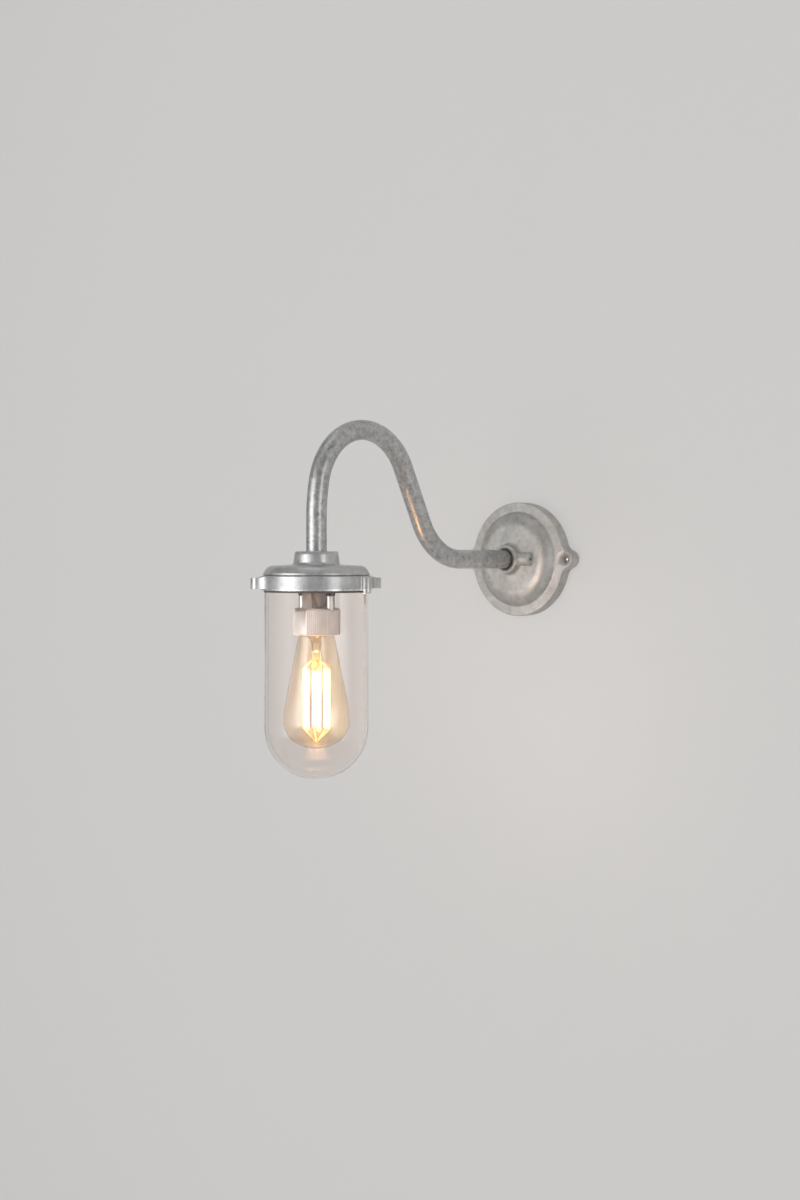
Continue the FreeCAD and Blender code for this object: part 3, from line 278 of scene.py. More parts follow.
# %% The galvanised finishes
def galvanised(name, dark, light, shine, dull, spangle_mm, grain_mm, skin_mm, metal=0.9):
    """Dipped zinc: two greys, two roughnesses, crystal and grain sizes, and the depth of the skin."""
    material, tree, shader = start_material(name, Metallic=metal)
    where = coordinates(tree)
    patches = cloudy(tree, where, spangle_mm * 2.5, detail=5.0, rough=0.6, distortion=0.4)
    spangle = crystals(tree, where, spangle_mm, output="Color")
    grain = cloudy(tree, where, grain_mm, detail=5.0, rough=0.65)
    tone = weighed(tree, (patches, 0.5), (spangle, 0.12), (grain, 0.38))
    grey = coloured(tree, tone, [(0.36, dark), (0.62, light)])
    # painted shade: the grey darkens where the ambient occlusion node finds a crease
    creases = node(tree, "ShaderNodeAmbientOcclusion", Distance=0.003)
    creases.samples = 4
    unshaded_share = stepped_between(tree, creases.outputs["AO"], 0.15, 0.5)
    crease_shaded_grey = blended(tree, unshaded_share, tuple(c * 0.8 for c in dark), grey)
    tree.links.new(crease_shaded_grey, shader.inputs["Base Color"])
    shine_tone = weighed(tree, (patches, 0.55), (grain, 0.45))
    tree.links.new(stepped_between(tree, shine_tone, 0.36, 0.62, shine, dull), shader.inputs["Roughness"])
    bumped(tree, shader, weighed(tree, (grain, 0.6), (patches, 0.4)), skin_mm)
    return material


CAP_ZINC = galvanised("cap_zinc", (0.42, 0.42, 0.425), (0.62, 0.62, 0.62), 0.28, 0.42, 3.0, 0.9, 0.09)
ROSE_ZINC = galvanised("rose_zinc", (0.37, 0.36, 0.345), (0.6, 0.59, 0.575), 0.4, 0.56, 5.0, 1.1, 0.12,
                       metal=0.75)
TUBE_ZINC = galvanised("tube_zinc", (0.3, 0.3, 0.305), (0.61, 0.61, 0.605), 0.26, 0.42, 2.4, 0.9, 0.09)
RING_ZINC = galvanised("ring_zinc", (0.52, 0.52, 0.525), (0.88, 0.88, 0.88), 0.2, 0.36, 2.6, 0.9, 0.08)
print("zinc finishes:", [m.name for m in (CAP_ZINC, ROSE_ZINC, TUBE_ZINC, RING_ZINC)])

# %% [markdown]
# ## Porcelain
# The lampholder is glazed porcelain, a warm off-white that looks pink-grey inside the tinted glass. Glaze
# is a clear, glossy coat on a body that scatters some light, so the shader gets a low roughness and a
# coat, with faint clouds and a few specks of iron in the clay, and the bump stays very shallow.

# %% Glazed porcelain
def glazed_porcelain():
    """Warm white clay with a few iron specks, under a thin clear coat."""
    material, tree, shader = start_material(
        "glazed_porcelain", Roughness=0.3, Coat_Weight=0.1, Coat_Roughness=0.1)
    where = coordinates(tree)
    cloud = cloudy(tree, where, 9.0, detail=3.0)
    specks = stepped_between(tree, crystals(tree, where, 2.2), 0.03, 0.08)
    glaze = coloured(tree, cloud, [(0.3, (0.42, 0.385, 0.365)), (0.7, (0.48, 0.445, 0.425))])
    tree.links.new(blended(tree, specks, (0.45, 0.37, 0.3), glaze), shader.inputs["Base Color"])
    bumped(tree, shader, cloudy(tree, where, 4.0, detail=1.0), 0.05)
    return material


PORCELAIN = glazed_porcelain()
print(PORCELAIN.name, "has", len(PORCELAIN.node_tree.nodes), "nodes")

# %% [markdown]
# ## Glass
# There are three glasses: the thick outer one with a faint rosy tint, the thin amber bulb, and the stem
# inside it. Real glass bends light at every surface, so both walls are modelled and the shader transmits.
# Each surface tints the light a little, and light crosses four surfaces on its way through, so each colour
# is paler than the tint that shows. Four surfaces also mirror the soft boxes four times over, which would
# drown the tint in white, so the specular tint turns the mirror down, and the bulb is a trace rough. A
# very slow bump stands for the unevenness of blown glass. Around a lit filament the bulb also glows
# faintly, most where the filaments are, so its glass gets a trace of emission that follows height.

# %% A shader for blown glass
def blown_glass(name, tint, ripple_mm, ripple_size, rough=0.0, mirror=0.35):
    """Clear glass with a tint, a slow ripple and a mirror that is turned down."""
    material, tree, shader = start_material(name, Roughness=rough, IOR=1.5, Transmission_Weight=1.0)
    shader.inputs["Specular Tint"].default_value = (mirror, mirror, mirror, 1.0)
    where = coordinates(tree, scale=(1, 1, 0.25))
    ripple = cloudy(tree, where, ripple_size, detail=1.0)
    pale = tuple(min(1.0, c * 1.006) for c in tint)
    tree.links.new(coloured(tree, ripple, [(0.35, tint), (0.65, pale)]), shader.inputs["Base Color"])
    bumped(tree, shader, ripple, ripple_mm)
    return material, tree, shader


def lit_by_height(tree, shader, stops, low, high, strength):
    """Gives a shader an emission whose colour follows height between low and high, in metres."""
    split = node(tree, "ShaderNodeSeparateXYZ", Vector=coordinates(tree))
    share = stepped_between(tree, split.outputs["Z"], low, high)
    tree.links.new(coloured(tree, share, stops), shader.inputs["Emission Color"])
    shader.inputs["Emission Strength"].default_value = strength


print("helpers ready: blown_glass, lit_by_height")

# %% The three glasses
BLACK = (0.0, 0.0, 0.0)
WELL_GLASS = blown_glass("rosy_well_glass", (0.958, 0.922, 0.902), 0.25, 45.0, mirror=0.24)[0]

AMBER_GLASS, amber_tree, amber_shader = blown_glass(
    "amber_bulb_glass", (0.93, 0.865, 0.76), 0.05, 20.0, rough=0.05, mirror=0.45)
VEIL = (1.0, 0.5, 0.2)
veil_stops = [(0.0, BLACK), (0.2, VEIL), (0.65, VEIL), (1.0, BLACK)]
lit_by_height(amber_tree, amber_shader, veil_stops, -0.185, -0.07, 0.015)

STEM_GLASS, stem_tree, stem_shader = blown_glass("lit_stem_glass", (0.98, 0.93, 0.85), 0.03, 8.0)
# painted glow: the stem's head gets an orange emission for the filaments' light in it
STEM_GLOW_PAINTED = (1.0, 0.45, 0.06)
lit_by_height(stem_tree, stem_shader, [(0.0, STEM_GLOW_PAINTED), (0.4, STEM_GLOW_PAINTED), (0.75, BLACK)], -0.1085, -0.08, 0.5)
print("glasses:", WELL_GLASS.name, AMBER_GLASS.name, STEM_GLASS.name)

# %% [markdown]
# ## The glow
# Each filament is a thin strip of tiny lamps under a yellow coating. It is the brightest thing in the
# picture, nearly white at its middle and amber at its ends, which a colour that follows height gives. The
# wires that hold the filaments are plain nickel, but so near to them that they shine orange, and that
# orange is painted onto them as a glow of their own.

# %% The lit filament and its hot wires
def lit_finish(name, base, metallic, stops, low, high, strength):
    """A finish that glows by its own light, with an emission colour that follows height."""
    material, tree, shader = start_material(name, Metallic=metallic, Roughness=0.4)
    cloud = cloudy(tree, coordinates(tree), 1.2)
    darker = tuple(c * 0.85 for c in base)
    tree.links.new(coloured(tree, cloud, [(0.3, darker), (0.7, base)]), shader.inputs["Base Color"])
    bumped(tree, shader, cloud, 0.02)
    lit_by_height(tree, shader, stops, low, high, strength)
    return material


AMBER, GOLD, PALE_GOLD = (1.0, 0.36, 0.05), (1.0, 0.62, 0.2), (1.0, 0.82, 0.5)
strip_stops = [(0.0, AMBER), (0.05, GOLD), (0.1, PALE_GOLD), (0.9, PALE_GOLD), (0.95, GOLD), (1.0, AMBER)]
FILAMENT = lit_finish("lit_filament", (0.9, 0.6, 0.2), 0.0, strip_stops, -0.1645, -0.1045, 5.0)
# painted glow: the nickel wires get an orange emission, strongest low down at the spider, for the
# filaments' light on them
wire_stops = [(0.0, (1.0, 0.42, 0.08)), (0.14, (1.0, 0.5, 0.1)),
              (0.2, (0.5, 0.2, 0.03)), (1.0, (0.4, 0.16, 0.03))]
WIRE_GLOW_PAINTED = lit_finish("nickel_wire_painted_glow", (0.8, 0.6, 0.4), 1.0, wire_stops, -0.178, -0.097, 0.9)
print("lit finishes:", FILAMENT.name, WIRE_GLOW_PAINTED.name)

# %% [markdown]
# ## Meshes that are turned
# The glass, the bulb and its cap are all round about the lamp's axis, as if turned on a lathe. A lathe
# mesh is one closed outline repeated round the axis. Where the outline meets the axis, its ring shrinks to
# one point, so that there is a single pole with nothing loose at it. Outlines are in millimetres, as
# (radius, height), and a function can push each point in or out a little, for a wavy wall or a thread.

# %% Normals, smooth shading, and dressing a piece
def smooth_by_angle(mesh, degrees=35.0):
    """Smooth shading, with every edge sharper than this kept crisp."""
    mesh.polygons.foreach_set("use_smooth", [True] * len(mesh.polygons))
    mesh.set_sharp_from_angle(angle=math.radians(degrees))


def face_outwards(mesh):
    """Turns a closed mesh the right way out, by the sign of its volume."""
    mesh.calc_loop_triangles()
    volume = sum(mesh.vertices[a].co.dot(mesh.vertices[b].co.cross(mesh.vertices[c].co))
                 for a, b, c in (triangle.vertices for triangle in mesh.loop_triangles))
    if volume < 0:
        mesh.flip_normals()


def dress(piece, material, body, slot, *nodes):
    """Gives a new piece its finish and its body, and hides the CAD nodes it stands for. slot is not used.
    """
    piece.data.materials.clear()
    piece.data.materials.append(material)
    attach(piece, body)
    if nodes:
        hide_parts(*nodes)
    print(piece.name, len(piece.data.polygons), "faces")


print("helpers ready: smooth_by_angle, face_outwards, dress")

# %% A lathe for closed outlines
def turned(name, outline, sides, unevenness=None):
    """A closed mesh: an outline of (radius, height) in millimetres, turned about the lamp's axis."""
    vertices, rings = [], []
    for point in outline:
        radius, height = point[0] / 1000.0, point[1] / 1000.0
        if radius < 1e-6:
            rings.append([len(vertices)] * sides)
            vertices.append((0.0, LAMP_Y, height))
            continue
        rings.append(range(len(vertices), len(vertices) + sides))
        for side in range(sides):
            turn = 2 * math.pi * side / sides
            reach = radius + (unevenness(radius, turn, height) if unevenness else 0.0)
            vertices.append((reach * math.cos(turn), LAMP_Y + reach * math.sin(turn), height))
    faces = []
    for ring, following in zip(rings, rings[1:] + rings[:1]):
        for side in range(sides):
            after = (side + 1) % sides
            corners = [ring[side], following[side], following[after], ring[after]]
            corners = [corner for place, corner in enumerate(corners) if corner != corners[place - 1]]
            if len(set(corners)) >= 3:
                faces.append(corners)
    mesh = bpy.data.meshes.new(name)
    mesh.from_pydata(vertices, [], faces)
    mesh.validate()
    face_outwards(mesh)
    smooth_by_angle(mesh)
    return in_scene(name, mesh)


def arc(centre, radius, first, last, steps):
    """Points on an arc, in degrees, with 0 outward and 90 up."""
    turns = [math.radians(first + (last - first) * step / steps) for step in range(steps + 1)]
    return [(centre[0] + radius * math.cos(turn), centre[1] + radius * math.sin(turn)) for turn in turns]


print("helpers ready: turned, arc")

# %% [markdown]
# ## The well glass
# It is a blown cylinder, 100 mm across, with a round end and a pressed flange that the ring holds. Blown
# glass is never quite true, so its wall gets a slow waviness of about a tenth of a millimetre, which is
# what makes the upright reflections wander. The outline runs down the outside, round the end and back up
# the inside.

# %% The well glass
GLASS_R = 50.0
GLASS_BORE = 46.5
ROUND_Z = -162.0
FLANGE = [(50.9, -24.2), (51.8, -25.0), (51.8, -26.6), (51.2, -27.3), (50.6, -27.3), (50.0, -27.9)]
MOUTH = [(46.5, -25.4), (47.4, -24.4), (48.0, -24.2)]
WALL_TOP, WALL_STEP = -28.6, 2.5
WAVINESS = 0.00016


def glass_waviness(radius, turn, height):
    """A slow wander of the wall, gone at the flange and at the pole."""
    where = Vector((math.cos(turn) * 1.3, math.sin(turn) * 1.3, height * 9.0))
    fade = min(1.0, max(0.0, (-0.03 - height) / 0.02)) * min(1.0, radius / 0.03)
    return noise.noise(where) * WAVINESS * fade


def well_glass_outline():
    """Down the outside, round the end, and back up the inside to the mouth."""
    steps = math.floor((WALL_TOP - ROUND_Z) / WALL_STEP)
    heights = [WALL_TOP - WALL_STEP * step for step in range(steps + 1)]
    outside = FLANGE + [(GLASS_R, height) for height in heights] + arc((0.0, ROUND_Z), GLASS_R, 0, -90, 40)
    inside = arc((0.0, ROUND_Z), GLASS_BORE, -90, 0, 40)
    inside += [(GLASS_BORE, height) for height in heights[::-1]] + MOUTH
    return [(0.0 if abs(radius) < 1e-3 else radius, height) for radius, height in outside + inside]


well_glass = turned("well_glass_blown", well_glass_outline(), 192, glass_waviness)
dress(well_glass, WELL_GLASS, "glass", "clear_glass", "well_glass")

# %% [markdown]
# ## The bulb
# The bulb is a long teardrop: a slim neck, a flank that is slightly hollow, a soft hip, and a flat round
# end. Its amber glass is thin, so the inner outline is the outer one moved in by 0.9 mm. The curve through
# the measured radii is a smooth spline, because straight pieces would show as bands in the reflections.

# %% The bulb's amber envelope
BULB_RADII = [(16.2, -70.0), (17.0, -72.6), (18.0, -76.0), (20.1, -87.0), (22.1, -97.0), (24.0, -107.0),
              (26.0, -117.0), (28.0, -126.5), (29.9, -136.0), (31.3, -145.5), (32.0, -156.5)]
BULB_SIDE, BULB_SIDE_R = (8.0, -156.5), 24.0
BULB_END, BULB_END_R = (0.0, -143.73), 39.07
BULB_WALL = 0.9


def through(points, steps):
    """A smooth curve through points, as a Catmull-Rom spline."""
    padded = [points[0]] + list(points) + [points[-1]]
    made = []
    for a, b, c, d in zip(padded, padded[1:], padded[2:], padded[3:]):
        for step in range(steps):
            t = step / steps
            made.append(tuple(0.5 * (2 * q + (r - p) * t + (2 * p - 5 * q + 4 * r - s) * t * t
                                     + (3 * q - p - 3 * r + s) * t ** 3) for p, q, r, s in zip(a, b, c, d)))
    return made + [points[-1]]


def bulb_outline(inset):
    """The outline moved in by inset: the measured flank, the side arc, then the flat round end."""
    meeting = math.degrees(math.atan2(BULB_SIDE[1] - BULB_END[1], BULB_SIDE[0] - BULB_END[0]))
    flank = through([(radius - inset, height) for radius, height in BULB_RADII], 5)
    flank += arc(BULB_SIDE, BULB_SIDE_R - inset, 0, meeting, 14)[1:]
    flank += arc(BULB_END, BULB_END_R - inset, meeting, -90, 12)[1:]
    flank[-1] = (0.0, flank[-1][1])
    return flank


envelope = turned("bulb_envelope", bulb_outline(0.0) + bulb_outline(BULB_WALL)[::-1], 128)
dress(envelope, AMBER_GLASS, "bulb", "amber_glass", "bulb_glass")

# %% [markdown]
# ## The stem
# Inside the neck a flared glass tube is melted onto the bulb, and the wires come through its closed head.
# It is another turned shape, a trumpet with a wall, and it gets its own glass, with an orange glow
# painted on at the head.

# %% The flared stem
STEM_OUTSIDE = [(15.5, -71.6), (11.6, -72.9), (8.6, -74.6), (6.4, -77.2), (5.1, -80.2), (4.6, -83.6),
                (4.35, -90.0), (4.2, -97.5), (4.45, -100.5), (4.9, -103.6)]
STEM_INSIDE = [(3.0, -88.2), (3.4, -83.4), (4.0, -80.0), (5.3, -76.8), (7.6, -74.0), (10.8, -72.2),
               (14.9, -71.0)]
HEAD_R, HEAD_Z = STEM_OUTSIDE[-1]
HOLLOW_R, HOLLOW_Z = 1.8, -88.2

stem_outline = through(STEM_OUTSIDE, 4) + arc((0.0, HEAD_Z), HEAD_R, 0, -90, 10)[1:-1]
stem_outline += [(0.0, HEAD_Z - HEAD_R), (0.0, HOLLOW_Z - HOLLOW_R)]
stem_outline += arc((0.0, HOLLOW_Z), HOLLOW_R, -90, 0, 5)[1:-1] + through(STEM_INSIDE, 4)
stem = turned("stem_flare", stem_outline, 64)
dress(stem, STEM_GLASS, "bulb", "stem_glass", "bulb_stem")

# %% [markdown]
# ## The two threads
# The bulb's brass cap and the brass sleeve in the holder carry the same round rolled thread. A thread is a
# wave that climbs one pitch in a turn, so the lathe can make it: the radius is pushed in and out by a sine
# of the height less the turn. The wave fades out at both ends, as it does on a rolled sheet. Both walls of
# the sheet take the same wave, which keeps its thickness.

# %% The bulb's cap and the holder's sleeve
PITCH = 3.63
CAP_OUTSIDE = [(11.2, -50.0), (12.0, -50.5), (12.6, -52.0), (12.6, -67.0), (13.6, -68.4), (15.7, -69.95)]
SLEEVE_OUTSIDE = [(13.95, -50.7), (13.95, -65.7)]


def thread(top, bottom, depth, fade=2.0):
    """Unevenness that is a right-hand round thread between two heights, in millimetres."""
    def push(_, turn, height):
        place = height * 1000.0
        share = min(1.0, max(0.0, (top - place) / fade), max(0.0, (place - bottom) / fade))
        return math.sin(2 * math.pi * place / PITCH - turn) * share * depth / 1000.0
    return push


def sheet_outline(outside, wall, step=0.4):
    """An open outline thickened inwards to a closed one, with long runs divided."""
    run = [outside[0]]
    for (r0, z0), (r1, z1) in zip(outside, outside[1:]):
        count = max(1, round(abs(z1 - z0) / step))
        run += [(r0 + (r1 - r0) * n / count, z0 + (z1 - z0) * n / count) for n in range(1, count + 1)]
    return run + [(radius - wall, height) for radius, height in run[::-1]]


cap = turned("bulb_cap_threaded", sheet_outline(CAP_OUTSIDE, 0.45), 96, thread(-51.5, -67.0, 0.5))
dress(cap, BRASS, "bulb", "brass", "bulb_cap")
sleeve = turned("holder_sleeve_threaded", sheet_outline(SLEEVE_OUTSIDE, 0.4), 96,
                thread(-50.7, -65.7, 0.35))
dress(sleeve, BRASS, "fixture", "brass", "holder_screw_shell")

# %% [markdown]
# ## Geometry Nodes
# What repeats, or follows a path, is work for Geometry Nodes: a tree of small steps with named inputs for
# its sizes. A tree can be built in the window by hand, or in a script, as here. Three helpers keep the
# script short, beside the one that adds a node. One starts a tree. One ends it, by making its instances
# real and setting the material, because instances would be lost in the export. The last runs a tree on a
# carrier mesh and turns the result into a plain mesh.

# %% Helpers for Geometry Nodes
def new_tree(name, sizes):
    """A Geometry Nodes tree with a mesh input and a float input for each (name, value)."""
    tree = bpy.data.node_groups.new(name, "GeometryNodeTree")
    tree.interface.new_socket("Geometry", in_out="OUTPUT", socket_type="NodeSocketGeometry")
    tree.interface.new_socket("Carrier", in_out="INPUT", socket_type="NodeSocketGeometry")
    for title, value in sizes:
        socket = tree.interface.new_socket(title, in_out="INPUT", socket_type="NodeSocketFloat")
        socket.default_value = value
    return tree, tree.nodes.new("NodeGroupInput"), tree.nodes.new("NodeGroupOutput")


def finish_tree(tree, output, geometry, material):
    """Ends a tree with Realize Instances and Set Material."""
    real = node(tree, "GeometryNodeRealizeInstances", Geometry=geometry)
    finish = node(tree, "GeometryNodeSetMaterial", Geometry=real.outputs[0], Material=material)
    tree.links.new(finish.outputs[0], output.inputs[0])


def grown(name, tree, sizes, points=(), edges=()):
    """Runs a tree with these sizes on a carrier of points and edges. Returns a plain mesh object."""
    start = bpy.data.meshes.new(name + "_carrier")
    start.from_pydata(list(points), list(edges), [])
    carrier = in_scene(name + "_carrier", start)
    modifier = carrier.modifiers.new("grow", "NODES")
    modifier.node_group = tree
    named = {item.name: item.identifier for item in tree.interface.items_tree if item.in_out == "INPUT"}
    for title, value in sizes.items():
        modifier[named[title]] = value
    bpy.context.view_layer.update()
    graph = bpy.context.evaluated_depsgraph_get()
    mesh = bpy.data.meshes.new_from_object(carrier.evaluated_get(graph))
    bpy.data.objects.remove(carrier)
    mesh.name = name
    face_outwards(mesh)
    smooth_by_angle(mesh)
    return in_scene(name, mesh)


print("helpers ready: new_tree, finish_tree, grown")

# %% [markdown]
# ## The filaments
# Six straight filaments hang in a ring round the stem's head, each with a metal clip at both ends. A
# circle of six points gives the places, and one rod is set on every point. The same tree makes the
# filaments and the clips, with other sizes.

# %% A ring of rods
FILAMENTS = 6


def ring_of_rods_tree(material):
    """Upright rods on a ring about the lamp's axis."""
    tree, given, output = new_tree("ring_of_rods", [
        ("Ring Radius", 0.0115), ("First Angle", 0.0), ("Rod Radius", 0.001),
        ("Top", -0.105), ("Bottom", -0.164)])
    sizes = given.outputs
    ring = node(tree, "GeometryNodeMeshCircle", Vertices=FILAMENTS, Radius=sizes["Ring Radius"])
    length = sums(tree, "SUBTRACT", sizes["Top"], sizes["Bottom"])
    rod = node(tree, "GeometryNodeMeshCylinder", Vertices=20, Radius=sizes["Rod Radius"], Depth=length)
    placed = node(tree, "GeometryNodeInstanceOnPoints", Points=ring.outputs[0],
                  Instance=rod.outputs["Mesh"])
    middle = sums(tree, "MULTIPLY", sums(tree, "ADD", sizes["Top"], sizes["Bottom"]), 0.5)
    offset = node(tree, "ShaderNodeCombineXYZ", Y=LAMP_Y, Z=middle)
    turn = node(tree, "ShaderNodeCombineXYZ", Z=sizes["First Angle"])
    moved = node(tree, "GeometryNodeTransform", Geometry=placed.outputs[0], Translation=offset.outputs[0],
                 Rotation=turn.outputs[0])
    finish_tree(tree, output, moved.outputs[0], material)
    return tree


print("a tree for rings of", FILAMENTS, "rods is ready")

# %% The filaments and their clips
FILAMENT_RING = 0.0118
FIRST_ANGLE = math.radians(26.3)


def ring_sizes(rod_radius, top, bottom):
    """The tree's inputs for one ring of rods."""
    return {"Ring Radius": FILAMENT_RING, "First Angle": FIRST_ANGLE, "Rod Radius": rod_radius,
            "Top": top, "Bottom": bottom}


filaments = grown("filament_strips", ring_of_rods_tree(FILAMENT), ring_sizes(0.0019, -0.1055, -0.1635))
dress(filaments, FILAMENT, "bulb", "filament_coating", "bulb_filaments")

for title, top, bottom in (("filament_heads", -0.1035, -0.1065), ("filament_feet", -0.1625, -0.1655)):
    clips = grown(title, ring_of_rods_tree(WIRE_GLOW_PAINTED), ring_sizes(0.0008, top, bottom))
    dress(clips, WIRE_GLOW_PAINTED, "bulb", "plated_steel")

# %% [markdown]
# ## The support wires
# From the stem's head a wire runs out to the top of each filament, and a spider of wires gathers their
# feet at a small hub below. A wire follows a line, so the carrier is a mesh of bare edges, and the tree
# sweeps a circle along them. The next piece, the neck tube, uses the same tree on a longer path.

# %% A tree that sweeps a circle along edges
def swept_tree(material, sides, capped=True):
    """A round bar along every run of edges in the carrier."""
    tree, given, output = new_tree("swept_round", [("Bar Radius", 0.001)])
    runs = node(tree, "GeometryNodeMeshToCurve", Mesh=given.outputs["Carrier"])
    thickness = given.outputs["Bar Radius"]
    ring = node(tree, "GeometryNodeCurvePrimitiveCircle", Resolution=sides, Radius=thickness)
    bar = node(tree, "GeometryNodeCurveToMesh", Curve=runs.outputs[0], Profile_Curve=ring.outputs[0],
               Fill_Caps=capped)
    finish_tree(tree, output, bar.outputs[0], material)
    return tree


print("a tree for round bars along a path is ready")

# %% The spider and the upper wires
def ring_place(radius, height, number):
    """A place in line with this filament, at this radius from the lamp's axis and this height."""
    turn = FIRST_ANGLE + math.radians(360 / FILAMENTS * number)
    return (radius * math.cos(turn), LAMP_Y + radius * math.sin(turn), height)


wire_points, wire_edges = [], []
for number in range(FILAMENTS):
    for start, end in ((ring_place(0.0044, -0.0975, number), ring_place(FILAMENT_RING, -0.104, number)),
                       (ring_place(0.0004, -0.1765, number), ring_place(FILAMENT_RING, -0.165, number))):
        wire_edges.append((len(wire_points), len(wire_points) + 1))
        wire_points += [start, end]
wires = grown("support_wires", swept_tree(WIRE_GLOW_PAINTED, 12), {"Bar Radius": 0.0005}, wire_points, wire_edges)
dress(wires, WIRE_GLOW_PAINTED, "bulb", "plated_steel", "bulb_leads")
hub = turned("spider_hub", [(0.0, -174.8), (1.1, -175.0), (1.5, -176.0), (1.1, -177.0), (0.0, -177.2)], 24)
dress(hub, WIRE_GLOW_PAINTED, "bulb", "plated_steel")

# %% [markdown]
# ## The neck tube
# The arm is 20 mm conduit, bent cold: an upright leg that leans a little at its top, a wide arch, a
# straight fall and a low bend into the wall. Its path is a walk of straight runs and arcs, each given by a
# length or a radius and a turn, so a few lengths and angles make the whole neck. The walk's points become
# the carrier's edges, the tree sweeps the tube's circle along them, and a Solidify modifier then gives the
# open tube its wall. The straight runs are divided too, because smooth shading would carry a tube end's
# dark rim along a long face.

# %% The neck's path
LEG_FOOT, LEG_TOP = -17.0, 41.0
LEAN_R, LEAN_TURN = 175.0, 12.0
ARCH_R = 64.5
FALL_ANGLE = 63.2
LOW_BEND_R = 67.8
WALL_END = -16.5
DEGREES_A_STEP = 1.5


def neck_walk():
    """Points (y, z) in millimetres along the tube's middle, from the lamp's end to the wall's end."""
    points = [(LAMP_Y * 1000.0, LEG_FOOT), (LAMP_Y * 1000.0, LEG_TOP)]
    heading = 90.0
    for radius, turn in ((LEAN_R, -LEAN_TURN), (ARCH_R, LEAN_TURN - 90.0 - FALL_ANGLE), (None, 0.0),
                         (LOW_BEND_R, FALL_ANGLE)):
        y, z = points[-1]
        # the straight fall is as long as it takes for the low bend to end level with the rose
        if radius is None:
            fall = math.radians(FALL_ANGLE)
            run = (z - LOW_BEND_R * (1 - math.cos(fall))) / math.sin(fall)
            points.append((y + run * math.cos(fall), z - run * math.sin(fall)))
            continue
        side = math.copysign(90.0, turn)
        inwards = math.radians(heading + side)
        centre = (y + radius * math.cos(inwards), z + radius * math.sin(inwards))
        steps = max(4, round(abs(turn) / DEGREES_A_STEP))
        points += arc(centre, radius, heading - side, heading - side + turn, steps)[1:]
        heading += turn
    return points + [(WALL_END, 0.0)]


def divided(points, longest):
    """The same walk with its long straight runs divided, so that shading at an end stays at the end."""
    made = [points[0]]
    for (y0, z0), (y1, z1) in zip(points, points[1:]):
        count = math.ceil(math.dist((y0, z0), (y1, z1)) / longest)
        made += [(y0 + (y1 - y0) * n / count, z0 + (z1 - z0) * n / count) for n in range(1, count + 1)]
    return made


walk = [(0.0, y / 1000.0, z / 1000.0) for y, z in divided(neck_walk(), 3.0)]
print("neck path:", len(walk), "points, highest at", round(max(point[2] for point in walk) * 1000, 1), "mm")

# %% The neck tube
neck = grown("neck_tube", swept_tree(TUBE_ZINC, 64, capped=False), {"Bar Radius": 0.010}, walk,
             [(place, place + 1) for place in range(len(walk) - 1)])
wall = neck.modifiers.new("wall", "SOLIDIFY")
wall.thickness = 0.0016
wall.offset = -1.0
dress(neck, TUBE_ZINC, "fixture", "galvanised_tube", "arm_tube")

# %% [markdown]
# ## The wall screws
# Two slotted round-head screws hold the rose to the wall, their heads down in the counterbores of its
# lugs. A screw is a short shank and a flattened ball with a slot cut across it. The tree makes one, sets
# it on the two lugs, and turns each by its own angle, because nobody lines up their screws.

# %% A slotted screw on every point
SLOT_WIDTH = 0.0009
FIRST_TWIST, TWIST_STEP = 0.5, 1.1


